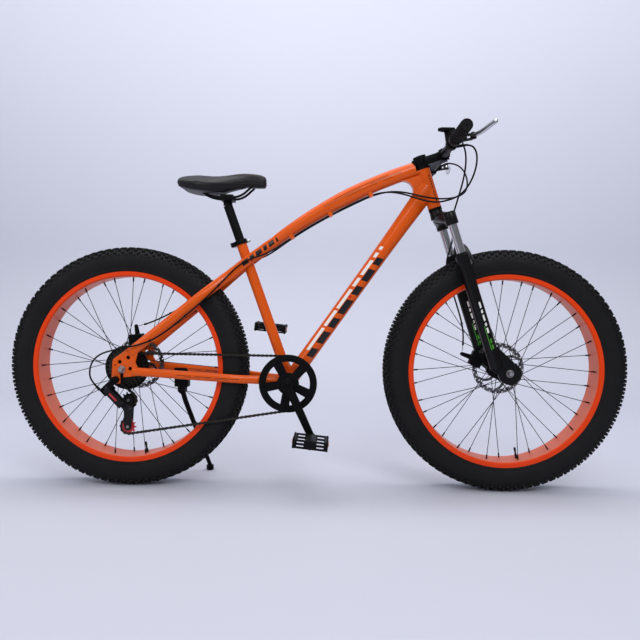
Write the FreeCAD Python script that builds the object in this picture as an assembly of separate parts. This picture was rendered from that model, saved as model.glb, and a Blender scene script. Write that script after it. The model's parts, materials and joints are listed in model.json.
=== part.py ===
import FreeCAD, Part
import math
import os

os.makedirs("parts", exist_ok=True)

# A fat tire bicycle, in millimetres and degrees. +X is forward, +Y the rider's left and +Z up.
# The origin is on the ground, midway between the two axles.

# Driving dimensions
wheelbase = 1131.0
tyre_radius = 362.0
tyre_half_width = 49.0
rim_lip_radius = 288.0
rim_bed_radius = 272.0
rim_half_width = 40.0
rear_centre = 485.5          # rear axle to crank axis, measured level
bracket_height = 322.0       # crank axis above the ground
seat_angle = 70.25
seat_tube_length = 452.0
saddle_post_rise = 563.0     # crank axis to the top of the seatpost, along the post
head_angle = 72.0
fork_rake = 52.0
axle_to_head = 528.0         # along the steering axis, to the lower end of the head tube
head_tube_length = 119.0
fork_travel = 50.0
leg_half_spacing = 78.0
front_dropout_gap = 135.0
rear_dropout_gap = 170.0
stem_reach = 68.0
stem_level = 669.0           # along the steering axis
bar_half_length = 335.0
crank_length = 170.0
crank_angle = 25.0           # the right crank, forward of straight down
chain_line = 56.0
chain_pitch = 12.7
ring_teeth = 40
cog_teeth = (14, 16, 18, 20, 22, 24, 28)
drive_cog = 4
pulley_teeth = 11
rotor_radius = 80.0
spoke_count = 36
saddle_length = 266.0
saddle_half_width = 78.0

# Clearances that every piece shares
running_gap = 0.05           # radial, a shaft in its bearing
slide_gap = 0.1              # radial, a tube that slides in a tube
part_gap = 0.3               # between faces that move past each other
overrun = 3.0                # how far a cut runs past its face
least_difference = 0.02      # between the two axes of an oval
tube_wall = 1.8              # of the frame's tubes, the bar and the post

left = FreeCAD.Vector(0, 1, 0)
centre_line = FreeCAD.Vector(0, 0, 0)


def vec(x, y, z):
    return FreeCAD.Vector(x, y, z)


def cylinder(radius, start, end):
    span = end - start
    return Part.makeCylinder(radius, span.Length, start, span)


def cone(start_radius, end_radius, start, end):
    span = end - start
    return Part.makeCone(start_radius, end_radius, span.Length, start, span)


def tube(outer, inner, start, end):
    reach = (end - start).normalize() * overrun
    return cylinder(outer, start, end).cut(cylinder(inner, start - reach, end + reach))


def crosswise(x, z, y_from, y_to, radius):
    return cylinder(radius, vec(x, y_from, z), vec(x, y_to, z))


def block(x_from, x_to, y_from, y_to, z_from, z_to):
    corner = vec(x_from, y_from, z_from)
    return Part.makeBox(x_to - x_from, y_to - y_from, z_to - z_from, corner)


def spun(profile, centre=centre_line):
    # A profile of (radius, y) corners turned about the crosswise line through a centre
    corners = [vec(radius, y, 0) for radius, y in profile]
    face = Part.Face(Part.makePolygon(corners + corners[:1]))
    solid = face.revolve(centre_line, left, 360)
    solid.translate(centre)
    return solid


def slab(outline, y_from, y_to):
    # An outline of (x, z) corners given a thickness crosswise
    corners = [vec(x, y_from, z) for x, z in outline]
    face = Part.Face(Part.makePolygon(corners + corners[:1]))
    return face.extrude(vec(0, y_to - y_from, 0))


def strap(x_a, z_a, radius_a, x_b, z_b, radius_b, y_from, y_to):
    # A flat bar with two round ends and tangent sides
    apart = math.hypot(x_b - x_a, z_b - z_a)
    heading = math.atan2(z_b - z_a, x_b - x_a)
    lean = math.acos((radius_a - radius_b) / apart)

    def rim_point(x, z, radius, angle):
        return vec(x + radius * math.cos(angle), y_from, z + radius * math.sin(angle))

    a_up = rim_point(x_a, z_a, radius_a, heading + lean)
    a_back = rim_point(x_a, z_a, radius_a, heading + math.pi)
    a_down = rim_point(x_a, z_a, radius_a, heading - lean)
    b_up = rim_point(x_b, z_b, radius_b, heading + lean)
    b_front = rim_point(x_b, z_b, radius_b, heading)
    b_down = rim_point(x_b, z_b, radius_b, heading - lean)
    edges = [
        Part.Arc(a_up, a_back, a_down).toShape(),
        Part.LineSegment(a_down, b_down).toShape(),
        Part.Arc(b_down, b_front, b_up).toShape(),
        Part.LineSegment(b_up, a_up).toShape(),
    ]
    return Part.Face(Part.Wire(edges)).extrude(vec(0, y_to - y_from, 0))


def oval(centre, along, half_tall, half_wide):
    # An ellipse square to its direction; its tall axis lies in the upright plane
    if abs(half_tall - half_wide) < least_difference:
        half_wide = half_tall - least_difference
    tall = along.cross(left).normalize() * half_tall
    wide = tall.cross(along).normalize() * half_wide
    if half_tall >= half_wide:
        curve = Part.Ellipse(centre + tall, centre + wide, centre)
    else:
        curve = Part.Ellipse(centre + wide, centre + tall, centre)
    return Part.Wire([curve.toShape()])


def loft(wires):
    return Part.makeLoft(wires, True)


def oval_tube(stations, first_along=None):
    # Stations are (point, half height, half width)
    wires = []
    for index, (point, half_tall, half_wide) in enumerate(stations):
        before = stations[max(index - 1, 0)][0]
        after = stations[min(index + 1, len(stations) - 1)][0]
        along = after - before
        if index == 0 and first_along is not None:
            along = first_along
        wires.append(oval(point, along.normalize(), half_tall, half_wide))
    return loft(wires)


corner_share = 0.45          # of the shorter run, taken up by each bend of a cord


def bent_path(points):
    # Straight runs joined by tangent arcs, each as large as its two runs allow
    edges = []
    radii = []
    start = points[0]
    for before, corner, after in zip(points, points[1:], points[2:]):
        arriving = (corner - before).normalize()
        leaving = (after - corner).normalize()
        turn = arriving.getAngle(leaving)
        reach = corner_share * min((corner - before).Length, (after - corner).Length)
        radius = reach / math.tan(turn / 2)
        first = corner - arriving * reach
        last = corner + leaving * reach
        inward = (leaving - arriving).normalize()
        middle = corner + inward * (radius / math.cos(turn / 2) - radius)
        edges.append(Part.LineSegment(start, first).toShape())
        edges.append(Part.Arc(first, middle, last).toShape())
        radii.append(radius)
        start = last
    edges.append(Part.LineSegment(start, points[-1]).toShape())
    return Part.Wire(edges), radii


def bent_rod(points, radius):
    path, radii = bent_path(points)
    heading = (points[1] - points[0]).normalize()
    section = Part.Wire([Part.makeCircle(radius, points[0], heading)])
    return path.makePipeShell([section], True, False), path.Length, radii


def cord(label, points, radius):
    solid, length, radii = bent_rod(points, radius)
    filled = solid.Volume / (math.pi * radius * radius * length)
    print(label, "length", round(length), "least radius", round(min(radii)), "volume share",
          round(filled, 3))
    return solid


def placed(shape, place):
    return shape.transformed(place.toMatrix())


def keep(name, *solids):
    shape = solids[0] if len(solids) == 1 else Part.makeCompound(list(solids))
    shape.exportStep("parts/" + name + ".step")


def joined(shapes):
    return shapes[0].multiFuse(shapes[1:]).removeSplitter()


def largest(shape):
    return max(shape.Solids, key=lambda solid: solid.Volume)


def held(value, low, high):
    return min(max(value, low), high)


# Main points and the two slanted frames of reference: the seat tube's and the fork's.
# In each of them z runs up the tube and x runs forward, square to it.
rear_axle = vec(-wheelbase / 2, 0, tyre_radius)
front_axle = vec(wheelbase / 2, 0, tyre_radius)
bracket = vec(rear_axle.x + rear_centre, 0, bracket_height)
seat_lean = 90 - seat_angle
head_lean = 90 - head_angle
seat_place = FreeCAD.Placement(bracket, FreeCAD.Rotation(left, -seat_lean))
steer_turn = FreeCAD.Rotation(left, -head_lean)
steer_foot = front_axle - steer_turn.multVec(vec(fork_rake, 0, 0))
steer_place = FreeCAD.Placement(steer_foot, steer_turn)
head_low = axle_to_head
head_high = axle_to_head + head_tube_length


def seat_point(up, ahead=0):
    return seat_place.multVec(vec(ahead, 0, up))


def steer_point(up, ahead=0, y=0):
    return steer_place.multVec(vec(ahead, y, up))


# Head tube
head_tube_radius = 20.0
head_tube_wall = 3.0
head_bore = head_tube_radius - head_tube_wall
head_tube = tube(head_tube_radius, head_bore, steer_point(head_low), steer_point(head_high))
keep("head_tube", head_tube)

# Bottom bracket shell
shell_radius = 21.0
shell_wall = 3.5
shell_half_length = 50.0
shell_bore = shell_radius - shell_wall
shell_solid = crosswise(bracket.x, bracket.z, -shell_half_length, shell_half_length, shell_radius)
shell_hole = crosswise(bracket.x, bracket.z, -shell_half_length - overrun, shell_half_length + overrun,
                       shell_bore)
keep("bottom_bracket_shell", shell_solid.cut(shell_hole))

# Down tube, oval, deeper towards the head tube
down_tube_half_tall = 22.5
down_tube_half_wide = 21.5
down_tube_head_half_tall = 29.0
down_tube_level = 592.0      # where its centre line meets the steering axis
down_flare_shares = ((0.0, 0.0), (0.6, 0.0), (0.82, 0.35), (1.0, 1.0))
down_end = steer_point(down_tube_level)
down_span = down_end - bracket
head_solid = cylinder(head_tube_radius, steer_point(head_low), steer_point(head_high))


def down_loft(wall):
    stations = []
    for along_share, flare_share in down_flare_shares:
        half_tall = down_tube_half_tall + flare_share * (down_tube_head_half_tall - down_tube_half_tall)
        stations.append((bracket + down_span * along_share, half_tall - wall, down_tube_half_wide - wall))
    return oval_tube(stations)


below_head = cylinder(head_tube_radius + overrun, steer_point(head_low - head_tube_length),
                      steer_point(head_low))
down_tube = largest(down_loft(0).cut(head_solid).cut(shell_solid).cut(below_head))

# Top tube, a rising arc that ends behind the head tube, with the gusset under its front end
collar_below = 35.0          # rear end of the tube, under the seat tube's top
collar_ahead = 110.0
top_tube_level = 655.0       # where its centre line meets the steering axis
top_tube_bow = 21.0
top_tube_rear_half_tall = 17.0
top_tube_mid_half_tall = 23.0
top_tube_head_half_tall = 22.0
top_tube_half_wide = 18.5
top_tube_sections = 8
stem_sweep_radius = 29.0     # room behind the headset for the turning stem
gusset_half_thick = 13.0
gusset_top_ahead = -72.0     # corners of the gusset, in the fork's frame
gusset_top_level = 634.0
gusset_low_ahead = -64.0
gusset_low_level = 577.0
gusset_throat_ahead = -46.0
gusset_throat_level = 602.0
top_middle_share = 0.5
top_hollow_from_share = 0.03  # where the tube's bore starts, behind a closed end
collar = seat_point(seat_tube_length - collar_below, collar_ahead)
top_end = steer_point(top_tube_level)
top_chord = top_end - collar
top_up = top_chord.cross(left).normalize()
top_middle = collar + top_chord * top_middle_share + top_up * top_tube_bow
top_arc = Part.Arc(collar, top_middle, top_end)


def arc_point(share):
    return top_arc.value(top_arc.FirstParameter + share * (top_arc.LastParameter - top_arc.FirstParameter))


def arc_along(share):
    nudge_share = 0.01
    return (arc_point(share + nudge_share) - arc_point(share - nudge_share)).normalize()


def top_half_tall(share):
    if share < top_middle_share:
        return top_tube_rear_half_tall + 2 * share * (top_tube_mid_half_tall - top_tube_rear_half_tall)
    return top_tube_mid_half_tall + (2 * share - 1) * (top_tube_head_half_tall - top_tube_mid_half_tall)


def top_loft(wall, first_share):
    wires = []
    for step in range(top_tube_sections + 1):
        share = first_share + (1 - first_share) * step / top_tube_sections
        wires.append(oval(arc_point(share), arc_along(share), top_half_tall(share) - wall,
                          top_tube_half_wide - wall))
    return loft(wires)


stem_room = cylinder(stem_sweep_radius, steer_point(head_high), steer_point(head_high + head_tube_length))
top_tube = largest(top_loft(0, 0).cut(head_solid).cut(stem_room))
top_hollow = top_loft(tube_wall, top_hollow_from_share)
gusset_top = steer_point(gusset_top_level, gusset_top_ahead, -gusset_half_thick)
gusset_throat = steer_point(gusset_throat_level, gusset_throat_ahead, -gusset_half_thick)
gusset_low = steer_point(gusset_low_level, gusset_low_ahead, -gusset_half_thick)
gusset_front_low = steer_point(gusset_low_level, 0, -gusset_half_thick)
gusset_front_high = steer_point(gusset_top_level, 0, -gusset_half_thick)
gusset_edges = [
    Part.Arc(gusset_top, gusset_throat, gusset_low).toShape(),
    Part.LineSegment(gusset_low, gusset_front_low).toShape(),
    Part.LineSegment(gusset_front_low, gusset_front_high).toShape(),
    Part.LineSegment(gusset_front_high, gusset_top).toShape(),
]
gusset = Part.Face(Part.Wire(gusset_edges)).extrude(vec(0, 2 * gusset_half_thick, 0))
down_tube = largest(down_tube.cut(top_tube))
top_tube = joined([top_tube, largest(gusset.cut(head_solid).cut(down_tube))])

# Cables, each one tube along its real route. Points are chosen by hand, for the sizes that are drawn here.
cable_radius = 2.5
drawn_places = ((-565.5, 0, 362.0), (565.5, 0, 362.0), (-117.38, 0, 751.63), (313.63, 0, 968.87))
drawn_rear, drawn_front, drawn_collar, drawn_head = (vec(*place) for place in drawn_places)
drawn_bar_half_length = 335.0
drawn_bar_root = 60.0        # a longer or shorter bar moves the points past here, crosswise
drawn_bar_side = 150.0
shift_route = (
    (405.7, -150, 998.7), (423, -149, 1000.5), (438, -144, 991.5), (446, -136, 973), (447, -124, 947),
    (441, -108, 918), (428, -92, 891), (406, -77, 870), (376, -64, 860), (344, -53, 857), (308, -46, 865),
    (272, -37, 879), (238, -26, 889), (205, -16, 893), (165, -10, 885.5), (122, -10, 865.5),
    (79, -10, 844.5), (37, -10, 822.8), (-5, -10, 799.4), (-46, -10, 774.6), (-86, -10, 748.2),
    (-118, -17, 726), (-150, -30, 706), (-185, -40, 694), (-218, -43, 680), (-250, -49, 652),
    (-284, -64, 612), (-330, -81, 563), (-380, -86, 520), (-430, -92, 477), (-480, -100, 445),
    (-533, -105, 430), (-584, -106, 420), (-624, -106, 408), (-648, -105.5, 385), (-656, -105, 353),
    (-650, -104.5, 329), (-635, -104.5, 313.2),
)
rear_brake_route = (
    (398.6, 166.9, 1007.3), (401, 148, 1008.5), (414, 126, 1009), (436, 98, 998), (448, 68, 978),
    (453, 36, 951), (451, 6, 922), (442, -18, 896), (420, -36, 878), (388, -42, 870), (352, -38, 870),
    (316, -30, 877), (282, -20, 887), (248, -10, 895), (210, 2, 896.5), (165, 10, 885.5),
    (122, 10, 865.5), (79, 10, 844.5), (37, 10, 822.8), (-5, 10, 799.4), (-46, 10, 774.6),
    (-86, 10, 748.2), (-118, 17, 726), (-150, 30, 706), (-190, 41, 690), (-232, 44, 668), (-278, 61, 630),
    (-330, 82, 589), (-380, 88, 566), (-431, 89, 541), (-470, 87, 521), (-508, 85, 502),
    (-542, 84.3, 488), (-571.2, 84.3, 480.6),
)
front_brake_route = (
    (398.6, -166.9, 1007.3), (401, -148, 1008), (410, -127, 1003), (421, -104, 988), (427, -80, 962),
    (427, -56, 930), (422, -32, 894), (415, -8, 858), (409, 16, 822), (411, 36, 788), (418, 48, 757),
    (409, 54, 726), (400, 56.5, 690), (406, 58.5, 649), (422, 60, 599), (439.5, 61, 547),
    (454, 61.5, 499), (459.3, 61.3, 456), (456.3, 61.3, 414.1),
)


def follow(x, y, z):
    # A point goes with the part of the frame that it is near: an axle, the collar, the head tube, a bar end
    shift = collar - drawn_collar
    if x < drawn_collar.x:
        share = held((x - drawn_rear.x) / (drawn_collar.x - drawn_rear.x), 0, 1)
        shift = (rear_axle - drawn_rear) * (1 - share) + shift * share
    else:
        share = held((x - drawn_collar.x) / (drawn_head.x - drawn_collar.x), 0, 1)
        shift = shift * (1 - share) + (top_end - drawn_head) * share
    out = 0
    if x > drawn_head.x:
        fall_share = held((drawn_head.z - z) / (drawn_head.z - drawn_front.z), 0, 1)
        shift = (top_end - drawn_head) * (1 - fall_share) + (front_axle - drawn_front) * fall_share
        side_share = held((abs(y) - drawn_bar_root) / (drawn_bar_side - drawn_bar_root), 0, 1)
        out = math.copysign(side_share * (bar_half_length - drawn_bar_half_length), y)
    return vec(x, y + out, z) + shift


# Cable guides, small saddles under the top tube that both cables pass through
guide_shares = (0.08, 0.36, 0.64)
guide_half_length = 6.0
guide_half_width = 15.0
guide_drop = 8.0             # below the tube's own underside
guide_lift = 6.0             # up into the tube, before the cut
guide_rooms = []
for name, route in (("shift_cable", shift_route), ("rear_brake_cable", rear_brake_route),
                    ("front_brake_cable", front_brake_route)):
    points = [follow(*point) for point in route]
    keep(name, cord(name, points, cable_radius))
    guide_rooms.append(bent_rod(points, cable_radius + part_gap)[0])
guides = []
for share in guide_shares:
    along = arc_along(share)
    lean = FreeCAD.Rotation(left, -math.degrees(math.atan2(along.z, along.x)))
    under = arc_point(share) - along.cross(left).normalize() * top_half_tall(share)
    guide = block(-guide_half_length, guide_half_length, -guide_half_width, guide_half_width, -guide_drop,
                  guide_lift)
    guides.append(placed(guide, FreeCAD.Placement(under, lean)).cut(guide_rooms[0]).cut(guide_rooms[1]))
top_tube = joined([top_tube] + [guide.cut(top_tube) for guide in guides])
keep("top_tube", largest(top_tube.cut(top_hollow)))
keep("down_tube", largest(down_tube.cut(down_loft(tube_wall))))

# Seat tube
post_radius = 13.6
seat_tube_radius = 15.9
seat_tube_bore = post_radius + slide_gap
seat_tube = tube(seat_tube_radius, seat_tube_bore, seat_point(0), seat_point(seat_tube_length))
seat_tube = seat_tube.cut(shell_solid).cut(down_tube)
keep("seat_tube", largest(seat_tube))

# Rear axle line: where the dropouts, stays and brake stand
dropout_thick = 6.0
dropout_inner = rear_dropout_gap / 2
dropout_outer = dropout_inner + dropout_thick
dropout_middle = dropout_inner + dropout_thick / 2

# Dropout plates. Corners are in shares of the plate's size, from the rear axle.
plate_size = 60.0
plate_corner_shares = ((-0.45, 0.37), (-0.4, 0.85), (0.23, 1.0), (0.57, 1.1), (0.78, 0.83), (0.66, 0.33),
                       (0.8, 0.05), (0.8, -0.3), (0.33, -0.37), (0.0, -0.4), (-0.3, -0.36))
hanger_corner_shares = ((-0.45, 0.37), (-0.4, 0.5), (0.23, 0.97), (0.57, 1.1), (0.78, 0.83), (0.66, 0.33),
                        (0.8, 0.05), (0.8, -0.3), (0.33, -0.37), (0.0, -0.4), (-0.1, -0.7), (-0.43, -0.73),
                        (-0.5, -0.37))
plate_hole_shares = ((-0.1, 0.36), (0.32, 0.58), (0.42, 0.03))
plate_hole_radius = 6.0
right_eyelet_share = (-0.32, 0.2)
left_eyelet_share = (-0.33, 0.32)
eyelet_radius = 2.6          # for a rack or mudguard bolt
axle_radius = 5.0
axle_slot = axle_radius + slide_gap
hanger_back = 17.0           # derailleur bolt, from the rear axle
hanger_drop = 31.0
hanger_bolt_radius = 5.0
hanger_x = rear_axle.x - hanger_back
hanger_z = rear_axle.z - hanger_drop


def dropout_plate(side, corner_shares, eyelet_share):
    outline = [(rear_axle.x + plate_size * x, rear_axle.z + plate_size * z) for x, z in corner_shares]
    near = side * dropout_inner
    far = side * dropout_outer
    plate = slab(outline, min(near, far), max(near, far))
    low = min(near, far) - overrun
    high = max(near, far) + overrun
    holes = [(x, z, plate_hole_radius) for x, z in plate_hole_shares] + [eyelet_share + (eyelet_radius,)]
    for x, z, radius in holes:
        plate = plate.cut(crosswise(rear_axle.x + plate_size * x, rear_axle.z + plate_size * z, low, high,
                                    radius))
    plate = plate.cut(crosswise(rear_axle.x, rear_axle.z, low, high, axle_slot))
    slot = block(rear_axle.x - axle_slot, rear_axle.x + axle_slot, low, high, rear_axle.z - plate_size,
                 rear_axle.z)
    return plate.cut(slot)


right_plate = dropout_plate(-1, hanger_corner_shares, right_eyelet_share)
hanger_hole = crosswise(hanger_x, hanger_z, -dropout_outer - overrun, -dropout_inner + overrun,
                        hanger_bolt_radius)
right_plate = right_plate.cut(hanger_hole)
left_plate = dropout_plate(1, plate_corner_shares, left_eyelet_share)
keep("dropouts", right_plate, left_plate)

# Seat stays start side by side at the top tube's rear end, pass the seat tube and spread round the tyre
seat_stay_half_tall = 15.0
seat_stay_half_wide = 9.0
stay_cross_below = 69.0      # where they pass the seat tube, under its top
stay_part = 0.4              # half the gap between the two stays at the collar
seat_stay_end_ahead = 26.0   # from the rear axle
seat_stay_end_up = 50.0
seat_stay_wide = 70.0        # from the middle, where they have passed the tyre
seat_stay_spread_share = 0.46
stay_sections = 14
collar_sections = 4
stay_cross = seat_point(seat_tube_length - stay_cross_below)
stay_cross_side = seat_tube_radius + part_gap + seat_stay_half_wide
seat_stay_end = rear_axle + vec(seat_stay_end_ahead, 0, seat_stay_end_up)


def eased(share, begin, finish):
    part = min(max((share - begin) / (finish - begin), 0), 1)
    return part * part * (3 - 2 * part)


def spread(share, narrow, wide, begin, finish):
    # A smooth swing outwards, then a straight line to the dropout
    after = max(share - finish, 0) / (1 - finish)
    return narrow + (wide - narrow) * eased(share, begin, finish) + (dropout_middle - wide) * after


def seat_stay(side, wall=0):
    # With a wall, the hollow inside it, which ends short of the dropout
    narrow = stay_part + seat_stay_half_wide
    stations = []
    for step in range(collar_sections):
        share = step / collar_sections
        point = collar + (stay_cross - collar) * share
        out = narrow + (stay_cross_side - narrow) * share
        stations.append((point + left * side * out, seat_stay_half_tall - wall, seat_stay_half_wide - wall))
    for step in range(stay_sections + 1):
        share = step / stay_sections
        point = stay_cross + (seat_stay_end - stay_cross) * share
        out = spread(share, stay_cross_side, seat_stay_wide, 0, seat_stay_spread_share)
        stations.append((point + left * side * out, seat_stay_half_tall - wall, seat_stay_half_wide - wall))
    return oval_tube(stations[:-1] if wall else stations, arc_along(0) * -1)


# Chain stays leave the shell inside the chainring and spread round the tyre
chain_stay_half_tall = 12.5
chain_stay_half_wide = 8.5
chain_stay_start_side = 34.0
chain_stay_end_ahead = 30.0
chain_stay_end_drop = 6.0
chain_stay_wide = 64.0
chain_stay_straight_share = 0.1
chain_stay_spread_share = 0.4
chain_stay_end = rear_axle + vec(chain_stay_end_ahead, 0, -chain_stay_end_drop)


def chain_stay(side, wall=0):
    stations = []
    for step in range(stay_sections + 1):
        share = step / stay_sections
        point = bracket + (chain_stay_end - bracket) * share
        out = spread(share, chain_stay_start_side, chain_stay_wide, chain_stay_straight_share,
                     chain_stay_spread_share)
        stations.append((point + left * side * out, chain_stay_half_tall - wall,
                         chain_stay_half_wide - wall))
    return oval_tube(stations[:-1] if wall else stations)


stays = []
for side, plate in ((-1, right_plate), (1, left_plate)):
    stays.append(largest(seat_stay(side).cut(seat_stay(side, tube_wall)).cut(plate)))
    stays.append(largest(chain_stay(side).cut(chain_stay(side, tube_wall)).cut(shell_solid).cut(plate)))
keep("rear_stays", *stays)

# Headset cups and bottom bracket cups, each with its bearing seat
steerer_radius = 14.3
spindle_radius = 8.5
cup_flange = 9.0
cup_skirt = 14.0
bracket_cup_flange = 4.0
steerer_bearing = steerer_radius + running_gap
spindle_bearing = spindle_radius + running_gap


def headset_cup(face, out):
    flange = tube(head_tube_radius, steerer_bearing, steer_point(face), steer_point(face + out * cup_flange))
    skirt = tube(head_bore, steerer_bearing, steer_point(face), steer_point(face - out * cup_skirt))
    return flange.fuse(skirt)


def bracket_cup(side):
    inner = side * (shell_half_length - cup_skirt)
    face = side * shell_half_length
    outer = side * (shell_half_length + bracket_cup_flange)
    profile = ((spindle_bearing, inner), (shell_bore, inner), (shell_bore, face), (shell_radius, face),
               (shell_radius, outer), (spindle_bearing, outer))
    return spun(profile, bracket)


keep("frame_bearings", headset_cup(head_low, -1), headset_cup(head_high, 1), bracket_cup(-1), bracket_cup(1))

# Seat clamp: a split collar with two ears, the cross bolt behind it and the cam that it turns on
clamp_height = 13.0
clamp_low = seat_tube_length - clamp_height
clamp_high = seat_tube_length
clamp_radius = 20.0
clamp_slit = 2.0
ear_reach = 31.0
ear_half_width = 9.0
clamp_bolt_back = 25.0
clamp_bolt_radius = 2.6
clamp_bolt_length = 34.0
clamp_nut_radius = 5.0
clamp_nut_length = 5.0
clamp_middle = (clamp_low + clamp_high) / 2
collar_ring = tube(clamp_radius, seat_tube_radius, vec(0, 0, clamp_low), vec(0, 0, clamp_high))
ears = block(-ear_reach, -seat_tube_radius, -ear_half_width, ear_half_width, clamp_low, clamp_high)
ears = ears.cut(cylinder(seat_tube_radius, vec(0, 0, clamp_low - overrun), vec(0, 0, clamp_high + overrun)))
slit = block(-ear_reach - overrun, 0, -clamp_slit / 2, clamp_slit / 2, clamp_low - overrun,
             clamp_high + overrun)
clamp_bolt = cylinder(clamp_bolt_radius, vec(-clamp_bolt_back, -ear_half_width - clamp_nut_length,
                                             clamp_middle),
                      vec(-clamp_bolt_back, clamp_bolt_length - ear_half_width, clamp_middle))
clamp_nut = cylinder(clamp_nut_radius, vec(-clamp_bolt_back, -ear_half_width - clamp_nut_length,
                                           clamp_middle),
                     vec(-clamp_bolt_back, -ear_half_width, clamp_middle))
seat_clamp = joined([collar_ring.fuse(ears).cut(slit), clamp_bolt, clamp_nut])
keep("seat_clamp", placed(seat_clamp, seat_place))

# Quick-release lever of the seat clamp, on the left, lying forward along the collar
lever_eye_radius = 7.0
lever_tip_radius = 4.5
lever_reach = 48.0
lever_thick = 7.0
lever_inner = clamp_radius + part_gap
lever_eye_from = ear_half_width + part_gap
lever_eye = crosswise(-clamp_bolt_back, clamp_middle, lever_eye_from, lever_inner + lever_thick,
                      lever_eye_radius)
lever_blade = strap(-clamp_bolt_back, clamp_middle, lever_eye_radius, lever_reach - clamp_bolt_back,
                    clamp_middle,
                    lever_tip_radius, lever_inner, lever_inner + lever_thick)
lever_bore = crosswise(-clamp_bolt_back, clamp_middle, 0, lever_inner + lever_thick + overrun,
                       clamp_bolt_radius + running_gap)
keep("seat_clamp_lever", placed(joined([lever_eye, lever_blade]).cut(lever_bore), seat_place))

# Seatpost, with its lower end well inside the seat tube
post_insert = 150.0
seatpost = cylinder(post_radius, seat_point(seat_tube_length - post_insert), seat_point(saddle_post_rise))
post_top = seat_point(saddle_post_rise)

# Saddle: a crowned pad, lofted from tail to nose. Shares are of its length, half width and depth.
saddle_behind = 146.0        # tail, behind the post's top
saddle_above = 96.0          # crest, above the post's top
saddle_tail = post_top.x - saddle_behind
saddle_crest = post_top.z + saddle_above
saddle_depth = 60.0
saddle_along_shares = (0.0, 0.05, 0.18, 0.36, 0.54, 0.7, 0.85, 0.95, 1.0)
saddle_width_shares = (0.55, 0.84, 1.0, 0.82, 0.48, 0.32, 0.26, 0.23, 0.16)
saddle_fall_shares = (0.22, 0.15, 0.16, 0.23, 0.18, 0.07, 0.0, 0.05, 0.16)
saddle_crown_shares = (0.3, 0.34, 0.36, 0.4, 0.55, 0.65, 0.7, 0.7, 0.6)
saddle_skirt_shares = (0.26, 0.31, 0.34, 0.35, 0.32, 0.36, 0.44, 0.46, 0.42)
saddle_tuck_share = 0.86     # how far the sides draw in at the base


def saddle_section(along_share, width_share, fall_share, crown_share, skirt_share):
    x = saddle_tail + along_share * saddle_length
    half = width_share * saddle_half_width
    top = saddle_crest - fall_share * saddle_depth
    edge = top - crown_share * half
    base = edge - skirt_share * saddle_depth
    tucked = saddle_tuck_share * half
    corners = [vec(x, -half, edge), vec(x, 0, top), vec(x, half, edge), vec(x, tucked, base),
               vec(x, -tucked, base)]
    edges = [
        Part.Arc(corners[0], corners[1], corners[2]).toShape(),
        Part.LineSegment(corners[2], corners[3]).toShape(),
        Part.LineSegment(corners[3], corners[4]).toShape(),
        Part.LineSegment(corners[4], corners[0]).toShape(),
    ]
    return Part.Wire(edges)


saddle_rows = zip(saddle_along_shares, saddle_width_shares, saddle_fall_shares, saddle_crown_shares,
                  saddle_skirt_shares)
saddle = loft([saddle_section(*row) for row in saddle_rows])
keep("saddle", saddle)

# Saddle rails and the clamp that holds them on the post
rail_radius = 3.5
rail_side = 22.0
rail_above = 22.0            # rails, above the post's top
rail_level = post_top.z + rail_above
rail_tail_back = 96.0        # from the post
rail_tail_up = 26.0
rail_low_back = 44.0
rail_low_front = 40.0
rail_nose_front = 78.0
rail_nose_up = 34.0
rail_points = ((-rail_tail_back, rail_tail_up), (-rail_low_back, 0), (rail_low_front, 0),
               (rail_nose_front, rail_nose_up))
cradle_half_length = 19.0
cradle_half_width = 29.0
cradle_under = 9.0
cradle_over = 8.0
cradle = block(post_top.x - cradle_half_length, post_top.x + cradle_half_length, -cradle_half_width,
               cradle_half_width, rail_level - cradle_under, rail_level + cradle_over)
neck = cylinder(post_radius, post_top, vec(post_top.x, 0, rail_level - cradle_under))
post_bore = cylinder(post_radius - tube_wall, seat_point(seat_tube_length - post_insert - overrun),
                     seat_point(saddle_post_rise - post_radius))
rails = []
for side in (-1, 1):
    points = [vec(post_top.x + x, side * rail_side, rail_level + z) for x, z in rail_points]
    rail = bent_rod(points, rail_radius)[0].cut(saddle)
    rails.append(largest(rail))
cradle = cradle.cut(rails[0]).cut(rails[1])
keep("seatpost", largest(joined([seatpost, neck]).cut(cradle).cut(post_bore)))
keep("saddle_rails", cradle, rails[0], rails[1])

# Rim, spokes, hub, tyre: one wheel, made at the origin and moved to its axle
rim_wall = 3.0
rim_shoulder = 4.0
tyre_thick = 4.0
tread_half_width = 22.0
tread_shoulder_half_width = 39.0
tread_shoulder_drop = 11.0
bead_depth = 6.0
bead_gap = 0.5
bulge_share = 0.46           # radial place of the widest point between the lip and the tread
spoke_radius = 1.0
spoke_head_radius = 1.9
spoke_head_length = 2.0
nipple_radius = 2.2
nipple_length = 13.0
spoke_row = 18.0             # of the rim's two rows of nipples, from its middle
spoke_cross_angle = 60.0
flange_radius = 33.0
flange_hole_radius = 29.0
flange_thick = 3.4
spoke_stand_off = 1.9        # spoke centre off the flange's face
hub_radius = 17.0
hub_end_radius = 20.0
hub_bearing_width = 9.0
axle_bearing = axle_radius + running_gap
valve_radius = 3.0
valve_length = 42.0
front_valve_angle = -80.0    # from straight ahead, upwards
rear_valve_angle = -80.0

lip_inner = rim_half_width - rim_wall
bed_outer = rim_bed_radius + rim_wall
flank = rim_bed_radius + rim_shoulder
rim_half_profile = ((rim_bed_radius, rim_half_width - 2 * rim_wall), (flank, rim_half_width),
                    (rim_lip_radius, rim_half_width),
                    (rim_lip_radius, lip_inner), (flank + rim_wall / 2, lip_inner),
                    (bed_outer, rim_half_width - 2 * rim_wall - rim_wall / 2))
rim_profile = rim_half_profile + tuple((radius, -y) for radius, y in reversed(rim_half_profile))


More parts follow.
